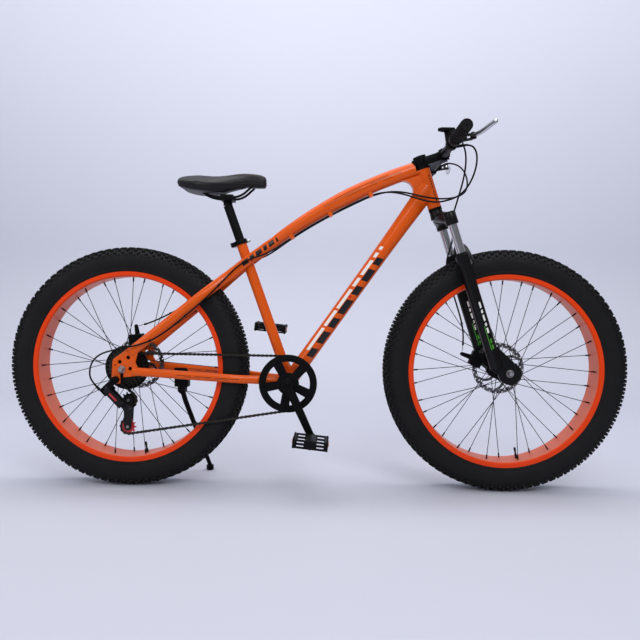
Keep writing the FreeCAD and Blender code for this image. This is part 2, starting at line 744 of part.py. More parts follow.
def tyre_section():
    bead = lip_inner - bead_gap
    lip = rim_lip_radius + bead_gap
    toe = rim_lip_radius - bead_depth
    widest = lip + bulge_share * (tyre_radius - lip)
    shoulder = tyre_radius - tread_shoulder_drop

    def corner(radius, y):
        return vec(radius, y, 0)

    def side(sign):
        outer = [corner(toe, sign * bead), corner(lip, sign * bead), corner(widest, sign * tyre_half_width),
                 corner(shoulder, sign * tread_shoulder_half_width),
                 corner(tyre_radius, sign * tread_half_width)]
        inner = [corner(toe, sign * (bead - tyre_thick)), corner(lip, sign * (bead - tyre_thick)),
                 corner(widest, sign * (tyre_half_width - tyre_thick)),
                 corner(shoulder - tyre_thick, sign * (tread_shoulder_half_width - tyre_thick)),
                 corner(tyre_radius - tyre_thick, sign * (tread_half_width - tyre_thick))]
        return outer, inner

    edges = []
    right_outer, right_inner = side(-1)
    left_outer, left_inner = side(1)
    for outline in (right_outer, left_outer, right_inner, left_inner):
        edges.append(Part.LineSegment(outline[0], outline[1]).toShape())
        edges.append(Part.Arc(outline[1], outline[2], outline[3]).toShape())
        edges.append(Part.LineSegment(outline[3], outline[4]).toShape())
    edges.append(Part.LineSegment(right_outer[4], left_outer[4]).toShape())
    edges.append(Part.LineSegment(right_inner[4], left_inner[4]).toShape())
    edges.append(Part.LineSegment(right_outer[0], right_inner[0]).toShape())
    edges.append(Part.LineSegment(left_outer[0], left_inner[0]).toShape())
    return Part.Face(Part.Wire(Part.__sortEdges__(edges)))


def valve(angle):
    outward = vec(math.cos(math.radians(angle)), 0, math.sin(math.radians(angle)))
    stem_end = outward * (rim_bed_radius - part_gap)
    return cylinder(valve_radius, stem_end - outward * valve_length, stem_end)


def spoke(flange_y, face_sign, hub_angle, rim_angle, row):
    hub_turn = math.radians(hub_angle)
    rim_turn = math.radians(rim_angle)
    stand = flange_y + face_sign * (flange_thick / 2 + spoke_stand_off)
    inner = vec(flange_hole_radius * math.cos(hub_turn), stand, flange_hole_radius * math.sin(hub_turn))
    seat = rim_bed_radius - part_gap
    outer = vec(seat * math.cos(rim_turn), row, seat * math.sin(rim_turn))
    along = (outer - inner).normalize()
    end = outer - along * part_gap
    head = cylinder(spoke_head_radius, inner, inner + along * spoke_head_length)
    shank = cylinder(spoke_radius, inner, end)
    nipple = cylinder(nipple_radius, end - along * nipple_length, end)
    return joined([shank, head, nipple])


def spoke_set(flange_right, flange_left):
    pair_count = spoke_count // 4
    pair_step = 360 / pair_count
    spokes = []
    for flange_y, row, start in ((flange_right, -spoke_row, 0), (flange_left, spoke_row, pair_step / 4)):
        outside = 1 if flange_y > 0 else -1
        for index in range(pair_count):
            leading = start + index * pair_step
            trailing = leading + pair_step / 2
            spokes.append(spoke(flange_y, outside, leading, leading + spoke_cross_angle, row))
            spokes.append(spoke(flange_y, -outside, trailing, trailing - spoke_cross_angle, row))
    return spokes


def hub(flange_right, flange_left, right_end, left_end, right_radius, left_radius):
    # Shell with two flanges; each end holds a bearing
    half = flange_thick / 2
    shell = spun(((axle_bearing + hub_bearing_width, right_end), (right_radius, right_end),
                  (right_radius, flange_right - half), (flange_radius, flange_right - half),
                  (flange_radius, flange_right + half), (hub_radius, flange_right + half),
                  (hub_radius, flange_left - half), (flange_radius, flange_left - half),
                  (flange_radius, flange_left + half), (left_radius, flange_left + half),
                  (left_radius, left_end), (axle_bearing + hub_bearing_width, left_end)))
    bearings = []
    for end, inward in ((right_end, 1), (left_end, -1)):
        inner_end = end + inward * hub_bearing_width
        low = min(end, inner_end)
        high = max(end, inner_end)
        bearings.append(spun(((axle_bearing, low), (axle_bearing + hub_bearing_width, low),
                              (axle_bearing + hub_bearing_width, high), (axle_bearing, high))))
    return [shell] + bearings


# Brake rotor: a braking band on swept arms, with its bolts
rotor_thick = 1.8
rotor_band = 15.0
rotor_boss_radius = 26.0
rotor_window_count = 6
rotor_window_share = 0.66    # of each arm's pitch that is open
rotor_bolt_circle = 22.0
rotor_bolt_radius = 3.2
rotor_bolt_height = 2.0


def sector_window(inner_radius, outer_radius, middle, half_inner, half_outer, y_from, y_to):
    def point(radius, angle):
        return vec(radius * math.cos(angle), y_from, radius * math.sin(angle))

    a = point(inner_radius, middle - half_inner)
    b = point(outer_radius, middle - half_outer)
    c = point(outer_radius, middle + half_outer)
    d = point(inner_radius, middle + half_inner)
    edges = [
        Part.LineSegment(a, b).toShape(),
        Part.Arc(b, point(outer_radius, middle), c).toShape(),
        Part.LineSegment(c, d).toShape(),
        Part.Arc(d, point(inner_radius, middle), a).toShape(),
    ]
    return Part.Face(Part.Wire(edges)).extrude(vec(0, y_to - y_from, 0))


def rotor(inner_face, hub_bore):
    low = inner_face
    high = inner_face + rotor_thick
    disc = spun(((hub_bore, low), (rotor_radius, low), (rotor_radius, high), (hub_bore, high)))
    step = 2 * math.pi / rotor_window_count
    half = step * rotor_window_share / 2
    bolts = []
    for index in range(rotor_window_count):
        angle = index * step
        disc = disc.cut(sector_window(rotor_boss_radius, rotor_radius - rotor_band, angle, half, half,
                                      low - overrun, high + overrun))
        bolt_angle = angle + step / 2
        x = rotor_bolt_circle * math.cos(bolt_angle)
        z = rotor_bolt_circle * math.sin(bolt_angle)
        bolts.append(crosswise(x, z, high, high + rotor_bolt_height, rotor_bolt_radius))
    return [disc] + bolts


def moved(shapes, place):
    result = []
    for shape in shapes:
        copy = shape.copy()
        copy.translate(place)
        result.append(copy)
    return result


rotor_from_dropout = 16.4    # rotor's outer face to the dropout's inner face
hub_end_room = 8.0           # hub's end to the dropout's inner face
freewheel_room = 7.0         # the same, on the freewheel's side
front_flange = 34.0
front_hub_end = front_dropout_gap / 2 - hub_end_room
front_rotor_face = front_dropout_gap / 2 - rotor_from_dropout
rear_right_flange = -34.0
rear_left_flange = 50.0
rear_rotor_face = rear_dropout_gap / 2 - rotor_from_dropout
freewheel_seat_radius = 15.5
freewheel_outer = rear_dropout_gap / 2 - freewheel_room
rear_left_end = rear_dropout_gap / 2 - hub_end_room
rotor_mount_radius = 24.5

rim = spun(rim_profile)
tyre = tyre_section().revolve(centre_line, left, 360)


def wheel(name, axle, valve_angle, flanges, hub_solids, rotor_solids):
    keep(name + "_rim", *moved([rim], axle))
    keep(name + "_tyre", *moved([tyre, valve(valve_angle)], axle))
    keep(name + "_spokes", *moved(spoke_set(*flanges), axle))
    keep(name + "_hub", *moved(hub_solids, axle))
    keep(name + "_rotor", *moved(rotor_solids, axle))


def rotor_seat(hub_solids, face, end):
    # The hub's left end is stepped: a mounting disc behind the rotor and a spigot through it
    spigot = spun(((rotor_mount_radius / 2, face), (rotor_mount_radius * 2, face),
                   (rotor_mount_radius * 2, end + overrun), (rotor_mount_radius / 2, end + overrun)))
    core = spun(((0, face - overrun), (hub_radius, face - overrun), (hub_radius, end + overrun),
                 (0, end + overrun)))
    return [hub_solids[0].cut(spigot.cut(core))] + hub_solids[1:]


front_hub = hub(-front_flange, front_flange, -front_hub_end, front_hub_end, hub_end_radius,
                rotor_mount_radius)
rear_hub = hub(rear_right_flange, rear_left_flange, -freewheel_outer, rear_left_end, freewheel_seat_radius,
               rotor_mount_radius)
front_hub = rotor_seat(front_hub, front_rotor_face, front_hub_end)
rear_hub = rotor_seat(rear_hub, rear_rotor_face, rear_left_end)
wheel("front", front_axle, front_valve_angle, (-front_flange, front_flange), front_hub,
      rotor(front_rotor_face, hub_radius))
wheel("rear", rear_axle, rear_valve_angle, (rear_right_flange, rear_left_flange), rear_hub,
      rotor(rear_rotor_face, hub_radius))

# Axles: a threaded rod with lock nuts inside the dropouts and domed nuts outside
lock_nut_radius = 8.5
dome_nut_radius = 9.0
dome_nut_length = 12.0
dome_top_radius = 6.0
washer_radius = 11.0
washer_thick = 1.6


def axle(place, gap, right_end, left_end, plate_outer):
    half = gap / 2
    end = plate_outer + washer_thick + dome_nut_length - overrun
    profile = ((0, -end), (axle_radius, -end), (axle_radius, -half), (lock_nut_radius, -half),
               (lock_nut_radius, right_end - part_gap), (axle_radius, right_end - part_gap),
               (axle_radius, left_end + part_gap), (lock_nut_radius, left_end + part_gap),
               (lock_nut_radius, half), (axle_radius, half), (axle_radius, end), (0, end))
    solids = [spun(profile, place)]
    for side in (-1, 1):
        face = side * plate_outer
        collar_face = side * (plate_outer + washer_thick)
        neck_face = side * (plate_outer + washer_thick + dome_nut_length / 2)
        top = side * (plate_outer + washer_thick + dome_nut_length)
        inner_top = side * end
        solids.append(spun(((axle_radius, face), (washer_radius, face), (washer_radius, collar_face),
                            (dome_nut_radius, collar_face), (dome_nut_radius, neck_face),
                            (dome_top_radius, top),
                            (0, top), (0, inner_top), (axle_radius, inner_top)), place))
    return solids


boss_thick = 15.0            # of the fork's round ends, crosswise
boss_outer = front_dropout_gap / 2 + boss_thick
keep("rear_axle", *axle(rear_axle, rear_dropout_gap, -freewheel_outer, rear_left_end, dropout_outer))
keep("front_axle", *axle(front_axle, front_dropout_gap, -front_hub_end, front_hub_end, boss_outer))

# Sprockets: roller seats on the pitch circle, straight flanks to a narrow tip
roller_radius = 3.9
seat_play = 0.35             # roller seat larger than the roller
tooth_height = 3.2           # tip above the pitch circle
tip_share = 0.12             # of the tooth pitch, half the tip's width
cog_thick = 1.9
seat_opening = 62.0          # half the angle of a roller seat


def pitch_radius(teeth):
    return chain_pitch / (2 * math.sin(math.pi / teeth))


def sprocket(teeth, seat_angle_first, bore, y_from, y_to, height=tooth_height, narrow_share=tip_share):
    # One roller seat stands at the given angle
    step = 2 * math.pi / teeth
    radius = pitch_radius(teeth)
    seat = roller_radius + seat_play
    opening = math.radians(seat_opening)
    tip_radius = radius + height

    def polar(distance, angle):
        return vec(distance * math.cos(angle), y_from, distance * math.sin(angle))

    edges = []
    for index in range(teeth):
        angle = seat_angle_first + index * step
        hub_point = polar(radius, angle)
        inward = angle + math.pi

        def seat_point_at(turn):
            return hub_point + vec(seat * math.cos(inward + turn), 0, seat * math.sin(inward + turn))

        first = seat_point_at(opening)
        last = seat_point_at(-opening)
        tip_from = polar(tip_radius, angle + step / 2 - narrow_share * step)
        tip_to = polar(tip_radius, angle + step / 2 + narrow_share * step)
        next_turn = inward + step + opening
        next_first = polar(radius, angle + step) + vec(seat * math.cos(next_turn), 0,
                                                       seat * math.sin(next_turn))
        edges.append(Part.Arc(first, seat_point_at(0), last).toShape())
        edges.append(Part.LineSegment(last, tip_from).toShape())
        edges.append(Part.LineSegment(tip_from, tip_to).toShape())
        edges.append(Part.LineSegment(tip_to, next_first).toShape())
    plate = Part.Face(Part.Wire(edges)).extrude(vec(0, y_to - y_from, 0))
    return plate.cut(crosswise(0, 0, y_from - overrun, y_to + overrun, bore))


# Chain path: chainring top, drive cog, front of the guide pulley, back of the tension pulley, chainring foot
guide_ahead = 9.5            # guide pulley from the rear axle
guide_drop_from_axle = 96.0
cage_lean = 1.5              # of the cage, backwards from straight down
cage_length_wish = 86.0
ring_radius = pitch_radius(ring_teeth)
cog_radius = pitch_radius(cog_teeth[drive_cog])
pulley_radius = pitch_radius(pulley_teeth)
guide_centre = (rear_axle.x + guide_ahead, rear_axle.z - guide_drop_from_axle)


def tension_centre(cage_length):
    lean = math.radians(cage_lean)
    return (guide_centre[0] - cage_length * math.sin(lean), guide_centre[1] - cage_length * math.cos(lean))


def chain_legs(cage_length):
    # Each leg is the tangent run from one wheel to the next. Sense -1 is clockwise, seen from the right.
    stops = [((bracket.x, bracket.z), ring_radius, -1, ring_teeth),
             ((rear_axle.x, rear_axle.z), cog_radius, -1, cog_teeth[drive_cog]),
             (guide_centre, pulley_radius, 1, pulley_teeth),
             (tension_centre(cage_length), pulley_radius, -1, pulley_teeth)]
    stops = [stops[index] for index in (0, 3, 2, 1)]
    runs = []
    for index in range(4):
        (x_a, z_a), radius_a, sense_a, teeth_a = stops[index]
        (x_b, z_b), radius_b, sense_b, teeth_b = stops[(index + 1) % 4]
        apart = math.hypot(x_b - x_a, z_b - z_a)
        heading = math.atan2(z_b - z_a, x_b - x_a)
        # The chain leaves each wheel square to its radius
        offset = math.asin((sense_b * radius_b - sense_a * radius_a) / apart)
        course = heading - offset
        leave = (x_a + sense_a * radius_a * math.sin(course), z_a - sense_a * radius_a * math.cos(course))
        arrive = (x_b + sense_b * radius_b * math.sin(course), z_b - sense_b * radius_b * math.cos(course))
        runs.append((leave, arrive))
    return stops, runs


def chain_track(cage_length):
    # The whole loop as straight runs and wraps, each with its count of links
    stops, runs = chain_legs(cage_length)
    track = []
    for index in range(4):
        leave, arrive = runs[index]
        length = math.hypot(arrive[0] - leave[0], arrive[1] - leave[1])
        track.append(("run", leave, arrive, length / chain_pitch))
        (x, z), radius, sense, teeth = stops[(index + 1) % 4]
        next_leave = runs[(index + 1) % 4][0]
        angle_in = math.atan2(arrive[1] - z, arrive[0] - x)
        angle_out = math.atan2(next_leave[1] - z, next_leave[0] - x)
        swept = (sense * (angle_out - angle_in)) % (2 * math.pi)
        track.append(("wrap", (x, z), radius, sense, angle_in, swept, teeth, swept * teeth / (2 * math.pi)))
    return track


def link_total(cage_length):
    return sum(piece[-1] for piece in chain_track(cage_length))


link_count = 2 * round(link_total(cage_length_wish) / 2)
shortest = cage_length_wish / 2
longest = cage_length_wish * 2
halvings = 60
for turn in range(halvings):
    middle = (shortest + longest) / 2
    if link_total(middle) < link_count:
        shortest = middle
    else:
        longest = middle
cage_length = (shortest + longest) / 2
track = chain_track(cage_length)
tension_place = tension_centre(cage_length)
print("chain links", link_count, "cage length", round(cage_length, 2))


def track_point(count):
    # The place that many links along the loop
    for piece in track:
        if count <= piece[-1]:
            break
        count -= piece[-1]
    if piece[0] == "run":
        share = count / piece[-1]
        (x_a, z_a), (x_b, z_b) = piece[1:3]
        return (x_a + share * (x_b - x_a), z_a + share * (z_b - z_a))
    kind, (x, z), radius, sense, angle_in, swept, teeth, links = piece
    angle = angle_in + sense * count * 2 * math.pi / teeth
    return (x + radius * math.cos(angle), z + radius * math.sin(angle))


def seat_angle_of(wrap_index):
    # Angle of the first roller that lies on a wrapped wheel
    wraps = [index for index, piece in enumerate(track) if piece[0] == "wrap"]
    position = wraps[wrap_index]
    before = sum(piece[-1] for piece in track[:position])
    kind, place, radius, sense, angle_in, swept, teeth, links = track[position]
    first = math.ceil(before) - before
    return angle_in + sense * first * 2 * math.pi / teeth


tension_angle, guide_angle, cog_angle, ring_angle = (seat_angle_of(index) for index in range(4))

# Chain: inner links with rollers, outer links with pins
link_half_height = 4.1
pin_radius = 1.8
inner_plate_from = 1.25
inner_plate_to = 2.15
outer_plate_from = 2.3
outer_plate_to = 3.2
roller_half_length = 1.25


def link_plates(near, far):
    plates = []
    for low, high in ((-far, -near), (near, far)):
        plates.append(strap(0, 0, link_half_height, chain_pitch, 0, link_half_height, low, high))
    return plates


def pins(radius, half_length):
    return [crosswise(x, 0, -half_length, half_length, radius) for x in (0, chain_pitch)]


outer_link = joined(link_plates(outer_plate_from, outer_plate_to) + pins(pin_radius, outer_plate_to))
inner_link = joined(link_plates(inner_plate_from, inner_plate_to) + pins(roller_radius, roller_half_length))
for pin_hole in pins(pin_radius + running_gap, outer_plate_to):
    inner_link = inner_link.cut(pin_hole)
links = []
for index in range(link_count):
    x_a, z_a = track_point(index)
    x_b, z_b = track_point((index + 1) % link_count)
    heading = math.degrees(math.atan2(z_b - z_a, x_b - x_a))
    place = FreeCAD.Placement(vec(x_a, -chain_line, z_a), FreeCAD.Rotation(left, -heading))
    links.append(placed(inner_link if index % 2 else outer_link, place))
keep("chain", *links)

# Freewheel: seven cogs on a body that runs on the hub's seat, and the spoke guard disc behind it
cog_step = 5.0
freewheel_body_radius = 24.0
freewheel_wall_gap = 0.4     # between the body and its neighbours along the axle
spoke_guard_radius = 66.0
spoke_guard_thick = 1.8
cog_y = [-chain_line - (drive_cog - index) * cog_step for index in range(len(cog_teeth))]
guard_outer = cog_y[-1] + cog_thick / 2 + freewheel_wall_gap
freewheel_inner_end = cog_y[-1] + cog_thick / 2
freewheel_outer_end = cog_y[0] - cog_thick / 2
freewheel_bore = freewheel_seat_radius + running_gap
freewheel = [spun(((freewheel_bore, freewheel_outer_end), (freewheel_body_radius, freewheel_outer_end),
                   (freewheel_body_radius, freewheel_inner_end), (freewheel_bore, freewheel_inner_end)))]
for index, teeth in enumerate(cog_teeth):
    seat = cog_angle if index == drive_cog else 0
    freewheel.append(sprocket(teeth, seat, freewheel_body_radius, cog_y[index] - cog_thick / 2,
                              cog_y[index] + cog_thick / 2))
keep("freewheel", *moved(freewheel, rear_axle))
spoke_guard = spun(((freewheel_seat_radius, guard_outer), (spoke_guard_radius, guard_outer),
                    (spoke_guard_radius, guard_outer + spoke_guard_thick),
                    (freewheel_seat_radius, guard_outer + spoke_guard_thick)), rear_axle)
keep("spoke_guard", spoke_guard)

# Cranks, spindles, chainring and its guard
arm_inner = 75.0
arm_thick = 15.0
arm_boss_radius = 18.0
arm_root_half = 13.0          # the arm's half width beside its boss
arm_tip_half = 10.0
arm_end_radius = 12.5
spindle_end = arm_inner + arm_thick - overrun
crank_bolt_radius = 7.0
crank_bolt_height = 4.0
pedal_spindle_radius = 6.0
pedal_half_length = 50.0
pedal_half_thick = 12.0
pedal_inner = 96.0
pedal_outer = 182.0
pedal_tilt = 6.0             # front edge down
pedal_window_from = 15.0
pedal_window_to = 40.0
pedal_window_end = 9.0
pedal_slot_from = 18.0       # slots through the end walls, from the spindle
pedal_slot_to = 38.0
pedal_slot_level = 5.0
pedal_slot_half_tall = 2.6
pedal_barrel_radius = 13.0
pedal_cap = 4.0
crank_turn = math.radians(crank_angle)
crank_ahead = crank_length * math.sin(crank_turn)
crank_drop = crank_length * math.cos(crank_turn)
right_pedal = (bracket.x + crank_ahead, bracket.z - crank_drop)
left_pedal = (bracket.x - crank_ahead, bracket.z + crank_drop)
arm_outer = arm_inner + arm_thick
spindle = crosswise(bracket.x, bracket.z, -spindle_end, spindle_end, spindle_radius)
crank_arms = []
pedal_spindles = []
for side, (pedal_x, pedal_z) in ((-1, right_pedal), (1, left_pedal)):
    low = min(side * arm_inner, side * arm_outer)
    high = max(side * arm_inner, side * arm_outer)
    arm = joined([strap(bracket.x, bracket.z, arm_root_half, pedal_x, pedal_z, arm_tip_half, low, high),
                  crosswise(bracket.x, bracket.z, low, high, arm_boss_radius),
                  crosswise(pedal_x, pedal_z, low, high, arm_end_radius)])
    bolt_face = side * arm_outer
    bolt_top = side * (arm_outer + crank_bolt_height)
    bolt = crosswise(bracket.x, bracket.z, bolt_face, bolt_top, crank_bolt_radius)
    arm = joined([arm, bolt]).cut(spindle)
    pedal_spindle = crosswise(pedal_x, pedal_z, side * arm_inner, side * (pedal_outer - pedal_cap),
                              pedal_spindle_radius)
    crank_arms.append(arm.cut(pedal_spindle))
    pedal_spindles.append(pedal_spindle)
keep("crank_arms", *crank_arms)
keep("crank_axles", spindle, *pedal_spindles)

ring_thick = 2.0
ring_bore = 66.5
guard_radius = 86.0
guard_gap = 3.6              # chainring face to the guard's face
guard_thick = 3.4
guard_window_count = 5
guard_window_inner = 33.0
guard_window_outer = 65.0
guard_window_half_inner_share = 0.2    # of a fifth of a turn
guard_window_half_outer_share = 0.33
guard_window_angle = 82.0
ring_bolt_circle = 71.0
ring_bolt_radius = 3.5
ring_low = -chain_line - ring_thick / 2
ring_high = -chain_line + ring_thick / 2
guard_high = ring_low - guard_gap
guard_low = guard_high - guard_thick
fifth = 2 * math.pi / guard_window_count
guard = spun(((spindle_radius, guard_low), (guard_radius, guard_low), (guard_radius, guard_high),
              (spindle_radius, guard_high)))
guard_hub = spun(((spindle_radius, -arm_inner), (arm_boss_radius, -arm_inner), (arm_boss_radius, guard_low),
                  (spindle_radius, guard_low)))
ring_bolts = []
for index in range(guard_window_count):
    angle = math.radians(guard_window_angle) + index * fifth
    guard = guard.cut(sector_window(guard_window_inner, guard_window_outer, angle,
                                    guard_window_half_inner_share * fifth,
                                    guard_window_half_outer_share * fifth,
                                    guard_low - overrun, guard_high + overrun))
    bolt_angle = angle + fifth / 2
    ring_bolts.append(crosswise(ring_bolt_circle * math.cos(bolt_angle),
                                ring_bolt_circle * math.sin(bolt_angle),
                                guard_high, ring_low, ring_bolt_radius))
chainring = sprocket(ring_teeth, ring_angle, ring_bore, ring_low, ring_high)
guard = joined([guard, guard_hub])
keep("chainring", *moved([chainring, guard] + ring_bolts, bracket))


# Pedals: a platform with two windows, running on its spindle
def pedal(side, place):
    low = min(side * pedal_inner, side * pedal_outer)
    high = max(side * pedal_inner, side * pedal_outer)
    platform = block(-pedal_half_length, pedal_half_length, low, high, -pedal_half_thick, pedal_half_thick)
    for end in (-1, 1):
        window_low = min(end * pedal_window_from, end * pedal_window_to)
        window_high = max(end * pedal_window_from, end * pedal_window_to)
        platform = platform.cut(block(window_low, window_high, low + pedal_window_end,
                                      high - pedal_window_end,
                                      -pedal_half_thick - overrun, pedal_half_thick + overrun))
        slot_low = min(end * pedal_slot_from, end * pedal_slot_to)
        slot_high = max(end * pedal_slot_from, end * pedal_slot_to)
        for level in (-pedal_slot_level, pedal_slot_level):
            platform = platform.cut(block(slot_low, slot_high, low - overrun, high + overrun,
                                          level - pedal_slot_half_tall, level + pedal_slot_half_tall))
    barrel = crosswise(0, 0, low, high, pedal_barrel_radius)
    bore_end = side * (pedal_outer - pedal_cap + part_gap)
    bore = crosswise(0, 0, side * (pedal_inner - overrun), bore_end, pedal_spindle_radius + running_gap)
    body = joined([platform, barrel]).cut(bore)
    return placed(body, FreeCAD.Placement(vec(place[0], 0, place[1]), FreeCAD.Rotation(left, pedal_tilt)))


keep("pedal_right", pedal(-1, right_pedal))
keep("pedal_left", pedal(1, left_pedal))

# Rear derailleur. Its links lie in a frame of their own: z up the links, x along their pivot pins.
link_top_back = 37.5         # upper pivots, from the rear axle
link_top_drop = 62.0
link_slope = 43.8            # of the pivot pins, from level
link_length = 53.0
link_half_width = 10.0
link_half_thick = 3.5
link_end = 8.0
outer_link_y = -104.5
inner_link_y = -83.5
link_pin_radius = 2.5
bracket_ear = 3.7
bracket_spine_from = 12.0
bracket_spine_to = 17.0
bracket_side = 3.0           # ears reach past the links, crosswise
knuckle_radius = 11.0
knuckle_inner = dropout_outer + part_gap
knuckle_outer = 109.0
tongue_half_thick = 2.0
tongue_half_width = 8.0
tongue_above = 5.0           # tongue's end above the lower pivots
post_below = 20.0            # cage post under the lower pivots
post_half = 9.0
plate_thick = 2.0
plate_gap = 6.0              # cage plate's inner face, from the chain's middle
cage_top_radius = 14.0
cage_foot_radius = 11.0
pulley_pin_radius = 2.5
pulley_boss_radius = 7.0
pulley_boss_half = plate_gap - part_gap
pulley_tooth_half = 1.0
pulley_tooth_height = 2.3
pulley_tip_share = 0.07
barrel_radius = 4.0
barrel_length = 14.0
link_top = vec(rear_axle.x - link_top_back, 0, rear_axle.z - link_top_drop)
link_place = FreeCAD.Placement(link_top, FreeCAD.Rotation(left, -link_slope))
hanger_local = link_place.inverse().multVec(vec(hanger_x, 0, hanger_z))
ear_low_y = outer_link_y - link_half_thick - bracket_side
ear_high_y = inner_link_y + link_half_thick + bracket_side
ear_inner = link_half_width + part_gap
ear_outer = ear_inner + bracket_ear
ears = [block(ear_inner, ear_outer, ear_low_y, ear_high_y, -link_end, bracket_spine_to),
        block(-ear_outer, -ear_inner, ear_low_y, ear_high_y, -link_end, bracket_spine_to),
        block(-ear_outer, ear_outer, ear_low_y, ear_high_y, bracket_spine_from, bracket_spine_to)]
link_pins = [cylinder(link_pin_radius, vec(-ear_outer, y, 0), vec(ear_outer, y, 0))
             for y in (outer_link_y, inner_link_y)]
knuckle = crosswise(hanger_local.x, hanger_local.z, -knuckle_outer, -knuckle_inner, knuckle_radius)
hanger_bolt = crosswise(hanger_local.x, hanger_local.z, -knuckle_inner, -dropout_inner, hanger_bolt_radius)
arm_to_knuckle = block(ear_inner, hanger_local.x, -knuckle_outer, -knuckle_inner, 0, bracket_spine_to)
barrel_seat = cylinder(barrel_radius, vec(-ear_outer, outer_link_y, bracket_spine_to),
                       vec(-ear_outer, outer_link_y, bracket_spine_to + barrel_length))
derailleur_bracket = joined(ears + link_pins + [knuckle, hanger_bolt, arm_to_knuckle, barrel_seat])
keep("derailleur_bracket", placed(derailleur_bracket, link_place))


def derailleur_link(y):
    plate = block(-link_half_width, link_half_width, y - link_half_thick, y + link_half_thick,
                  -link_length - link_end, link_end)
    bore = cylinder(link_pin_radius + running_gap, vec(-link_half_width - overrun, y, 0),
                    vec(link_half_width + overrun, y, 0))
    return placed(plate.cut(bore), link_place)


keep("derailleur_outer_link", derailleur_link(outer_link_y))
keep("derailleur_inner_link", derailleur_link(inner_link_y))

tongue_y = (outer_link_y + inner_link_y) / 2
outer_face = -chain_line - plate_gap
inner_face = -chain_line + plate_gap
post_level = -link_length - post_below
tongue = block(-tongue_half_width, tongue_half_width, tongue_y - tongue_half_thick,
               tongue_y + tongue_half_thick,
               post_level, -link_length + tongue_above)
post = crosswise(0, post_level, tongue_y - tongue_half_thick, outer_face, post_half)
post_place = link_place.multVec(vec(0, 0, post_level))
post_pad = crosswise(post_place.x, post_place.z, outer_face - plate_thick, outer_face,
                     post_half + plate_thick)
cage_plates = []
for low, high in ((outer_face - plate_thick, outer_face), (inner_face, inner_face + plate_thick)):
    cage_plates.append(strap(guide_centre[0], guide_centre[1], cage_top_radius, tension_place[0],
                             tension_place[1],
                             cage_foot_radius, low, high))
cage_pins = [crosswise(x, z, outer_face - plate_thick, inner_face + plate_thick, pulley_pin_radius)
             for x, z in (guide_centre, tension_place)]
carrier = [placed(tongue, link_place), placed(post, link_place), post_pad]
keep("derailleur_cage", joined(cage_plates + cage_pins + carrier))


def pulley(place, seat):
    bore = pulley_pin_radius + running_gap
    wheel_plate = sprocket(pulley_teeth, seat, bore, -chain_line - pulley_tooth_half,
                           -chain_line + pulley_tooth_half,
                           pulley_tooth_height, pulley_tip_share)
    low = -chain_line - pulley_boss_half
    high = -chain_line + pulley_boss_half
    boss = spun(((bore, low), (pulley_boss_radius, low), (pulley_boss_radius, high), (bore, high)))
    return moved([joined([wheel_plate, boss])], vec(place[0], 0, place[1]))


keep("guide_pulley", *pulley(guide_centre, guide_angle))
keep("tension_pulley", *pulley(tension_place, tension_angle))

# Fork, in its own slanted frame: crown with steerer, stanchions, lowers and springs
leg_ahead = 20.0
stanchion_radius = 12.7
stanchion_wall = 1.8
stanchion_hidden = 167.0     # inside the lowers
crown_depth = 57.7
crown_high = axle_to_head - cup_flange - part_gap
crown_low = crown_high - crown_depth
socket_radius = 18.0
crown_half_tall = 17.0
crown_half_deep = 23.0
crown_end_half_deep = 16.0
crown_ahead = 9.0
crown_drop = 24.0            # crown beam's middle below its top
crown_fall = 18.0            # crown beam's ends below its middle
socket_below = 24.0          # sockets' tops, under the crown's top
steerer_above = 15.0         # past the bar's level
steerer_top = stem_level + steerer_above
steerer_wall = 2.5
crown_race_radius = 19.0
socket_cap = 6.0
bump_room = 44.0             # crown to lowers, when the travel is used up
lower_top = crown_low - fork_travel - bump_room
stanchion_low = lower_top - stanchion_hidden
lower_radius = 18.0
lower_foot = 26.0
wiper_radius = 20.0
wiper_height = 16.0
floor_room = 5.0             # under the stanchion, when the travel is used up
bore_floor = stanchion_low - fork_travel - floor_room
boss_radius = 33.0
arch_ahead = 37.0
arch_below = 32.0            # arch's feet, under the legs' tops
arch_rise = 63.0
arch_foot = lower_top - arch_below
arch_top = arch_foot + arch_rise
arch_half_tall = 8.0
arch_half_deep = 13.0
web_share = 0.9              # of the leg's radius, at the web's top corners
web_top = 92.0
spring_outer = 10.0
spring_inner = 7.0
post_tab_thick = 12.0
post_tab_half = 6.0
upper_tab_back = 12.0        # tabs of the front caliper, from the leg's middle and up from the axle
upper_tab_up = 58.0
lower_tab_back = 38.0
lower_tab_up = 26.0
crown_middle = crown_high - crown_drop
socket_top = crown_high - socket_below

crown_wires = []
for side_share, half_deep in ((-1, crown_end_half_deep), (0, crown_half_deep), (1, crown_end_half_deep)):
    middle_x = crown_ahead + abs(side_share) * (leg_ahead - crown_ahead)
    centre = vec(middle_x, side_share * leg_half_spacing, crown_middle - abs(side_share) * crown_fall)
    half_tall = min(crown_half_tall, half_deep - overrun)
    curve = Part.Ellipse(centre + vec(half_deep, 0, 0), centre - vec(0, 0, half_tall), centre)
    crown_wires.append(Part.Wire([curve.toShape()]))
crown_parts = [loft(crown_wires)]
for side in (-1, 1):
    foot = vec(leg_ahead, side * leg_half_spacing, crown_low)
    crown_parts.append(cylinder(socket_radius, foot, vec(leg_ahead, side * leg_half_spacing, socket_top)))
crown_parts.append(cylinder(steerer_radius, vec(0, 0, crown_middle), vec(0, 0, steerer_top)))
crown_parts.append(cone(socket_radius + overrun, crown_race_radius, vec(0, 0, crown_middle),
                        vec(0, 0, crown_high)))
steerer_bore = cylinder(steerer_radius - steerer_wall, vec(0, 0, crown_low),
                        vec(0, 0, steerer_top + overrun))
crown = joined(crown_parts).cut(steerer_bore)
stanchions = []
springs = []
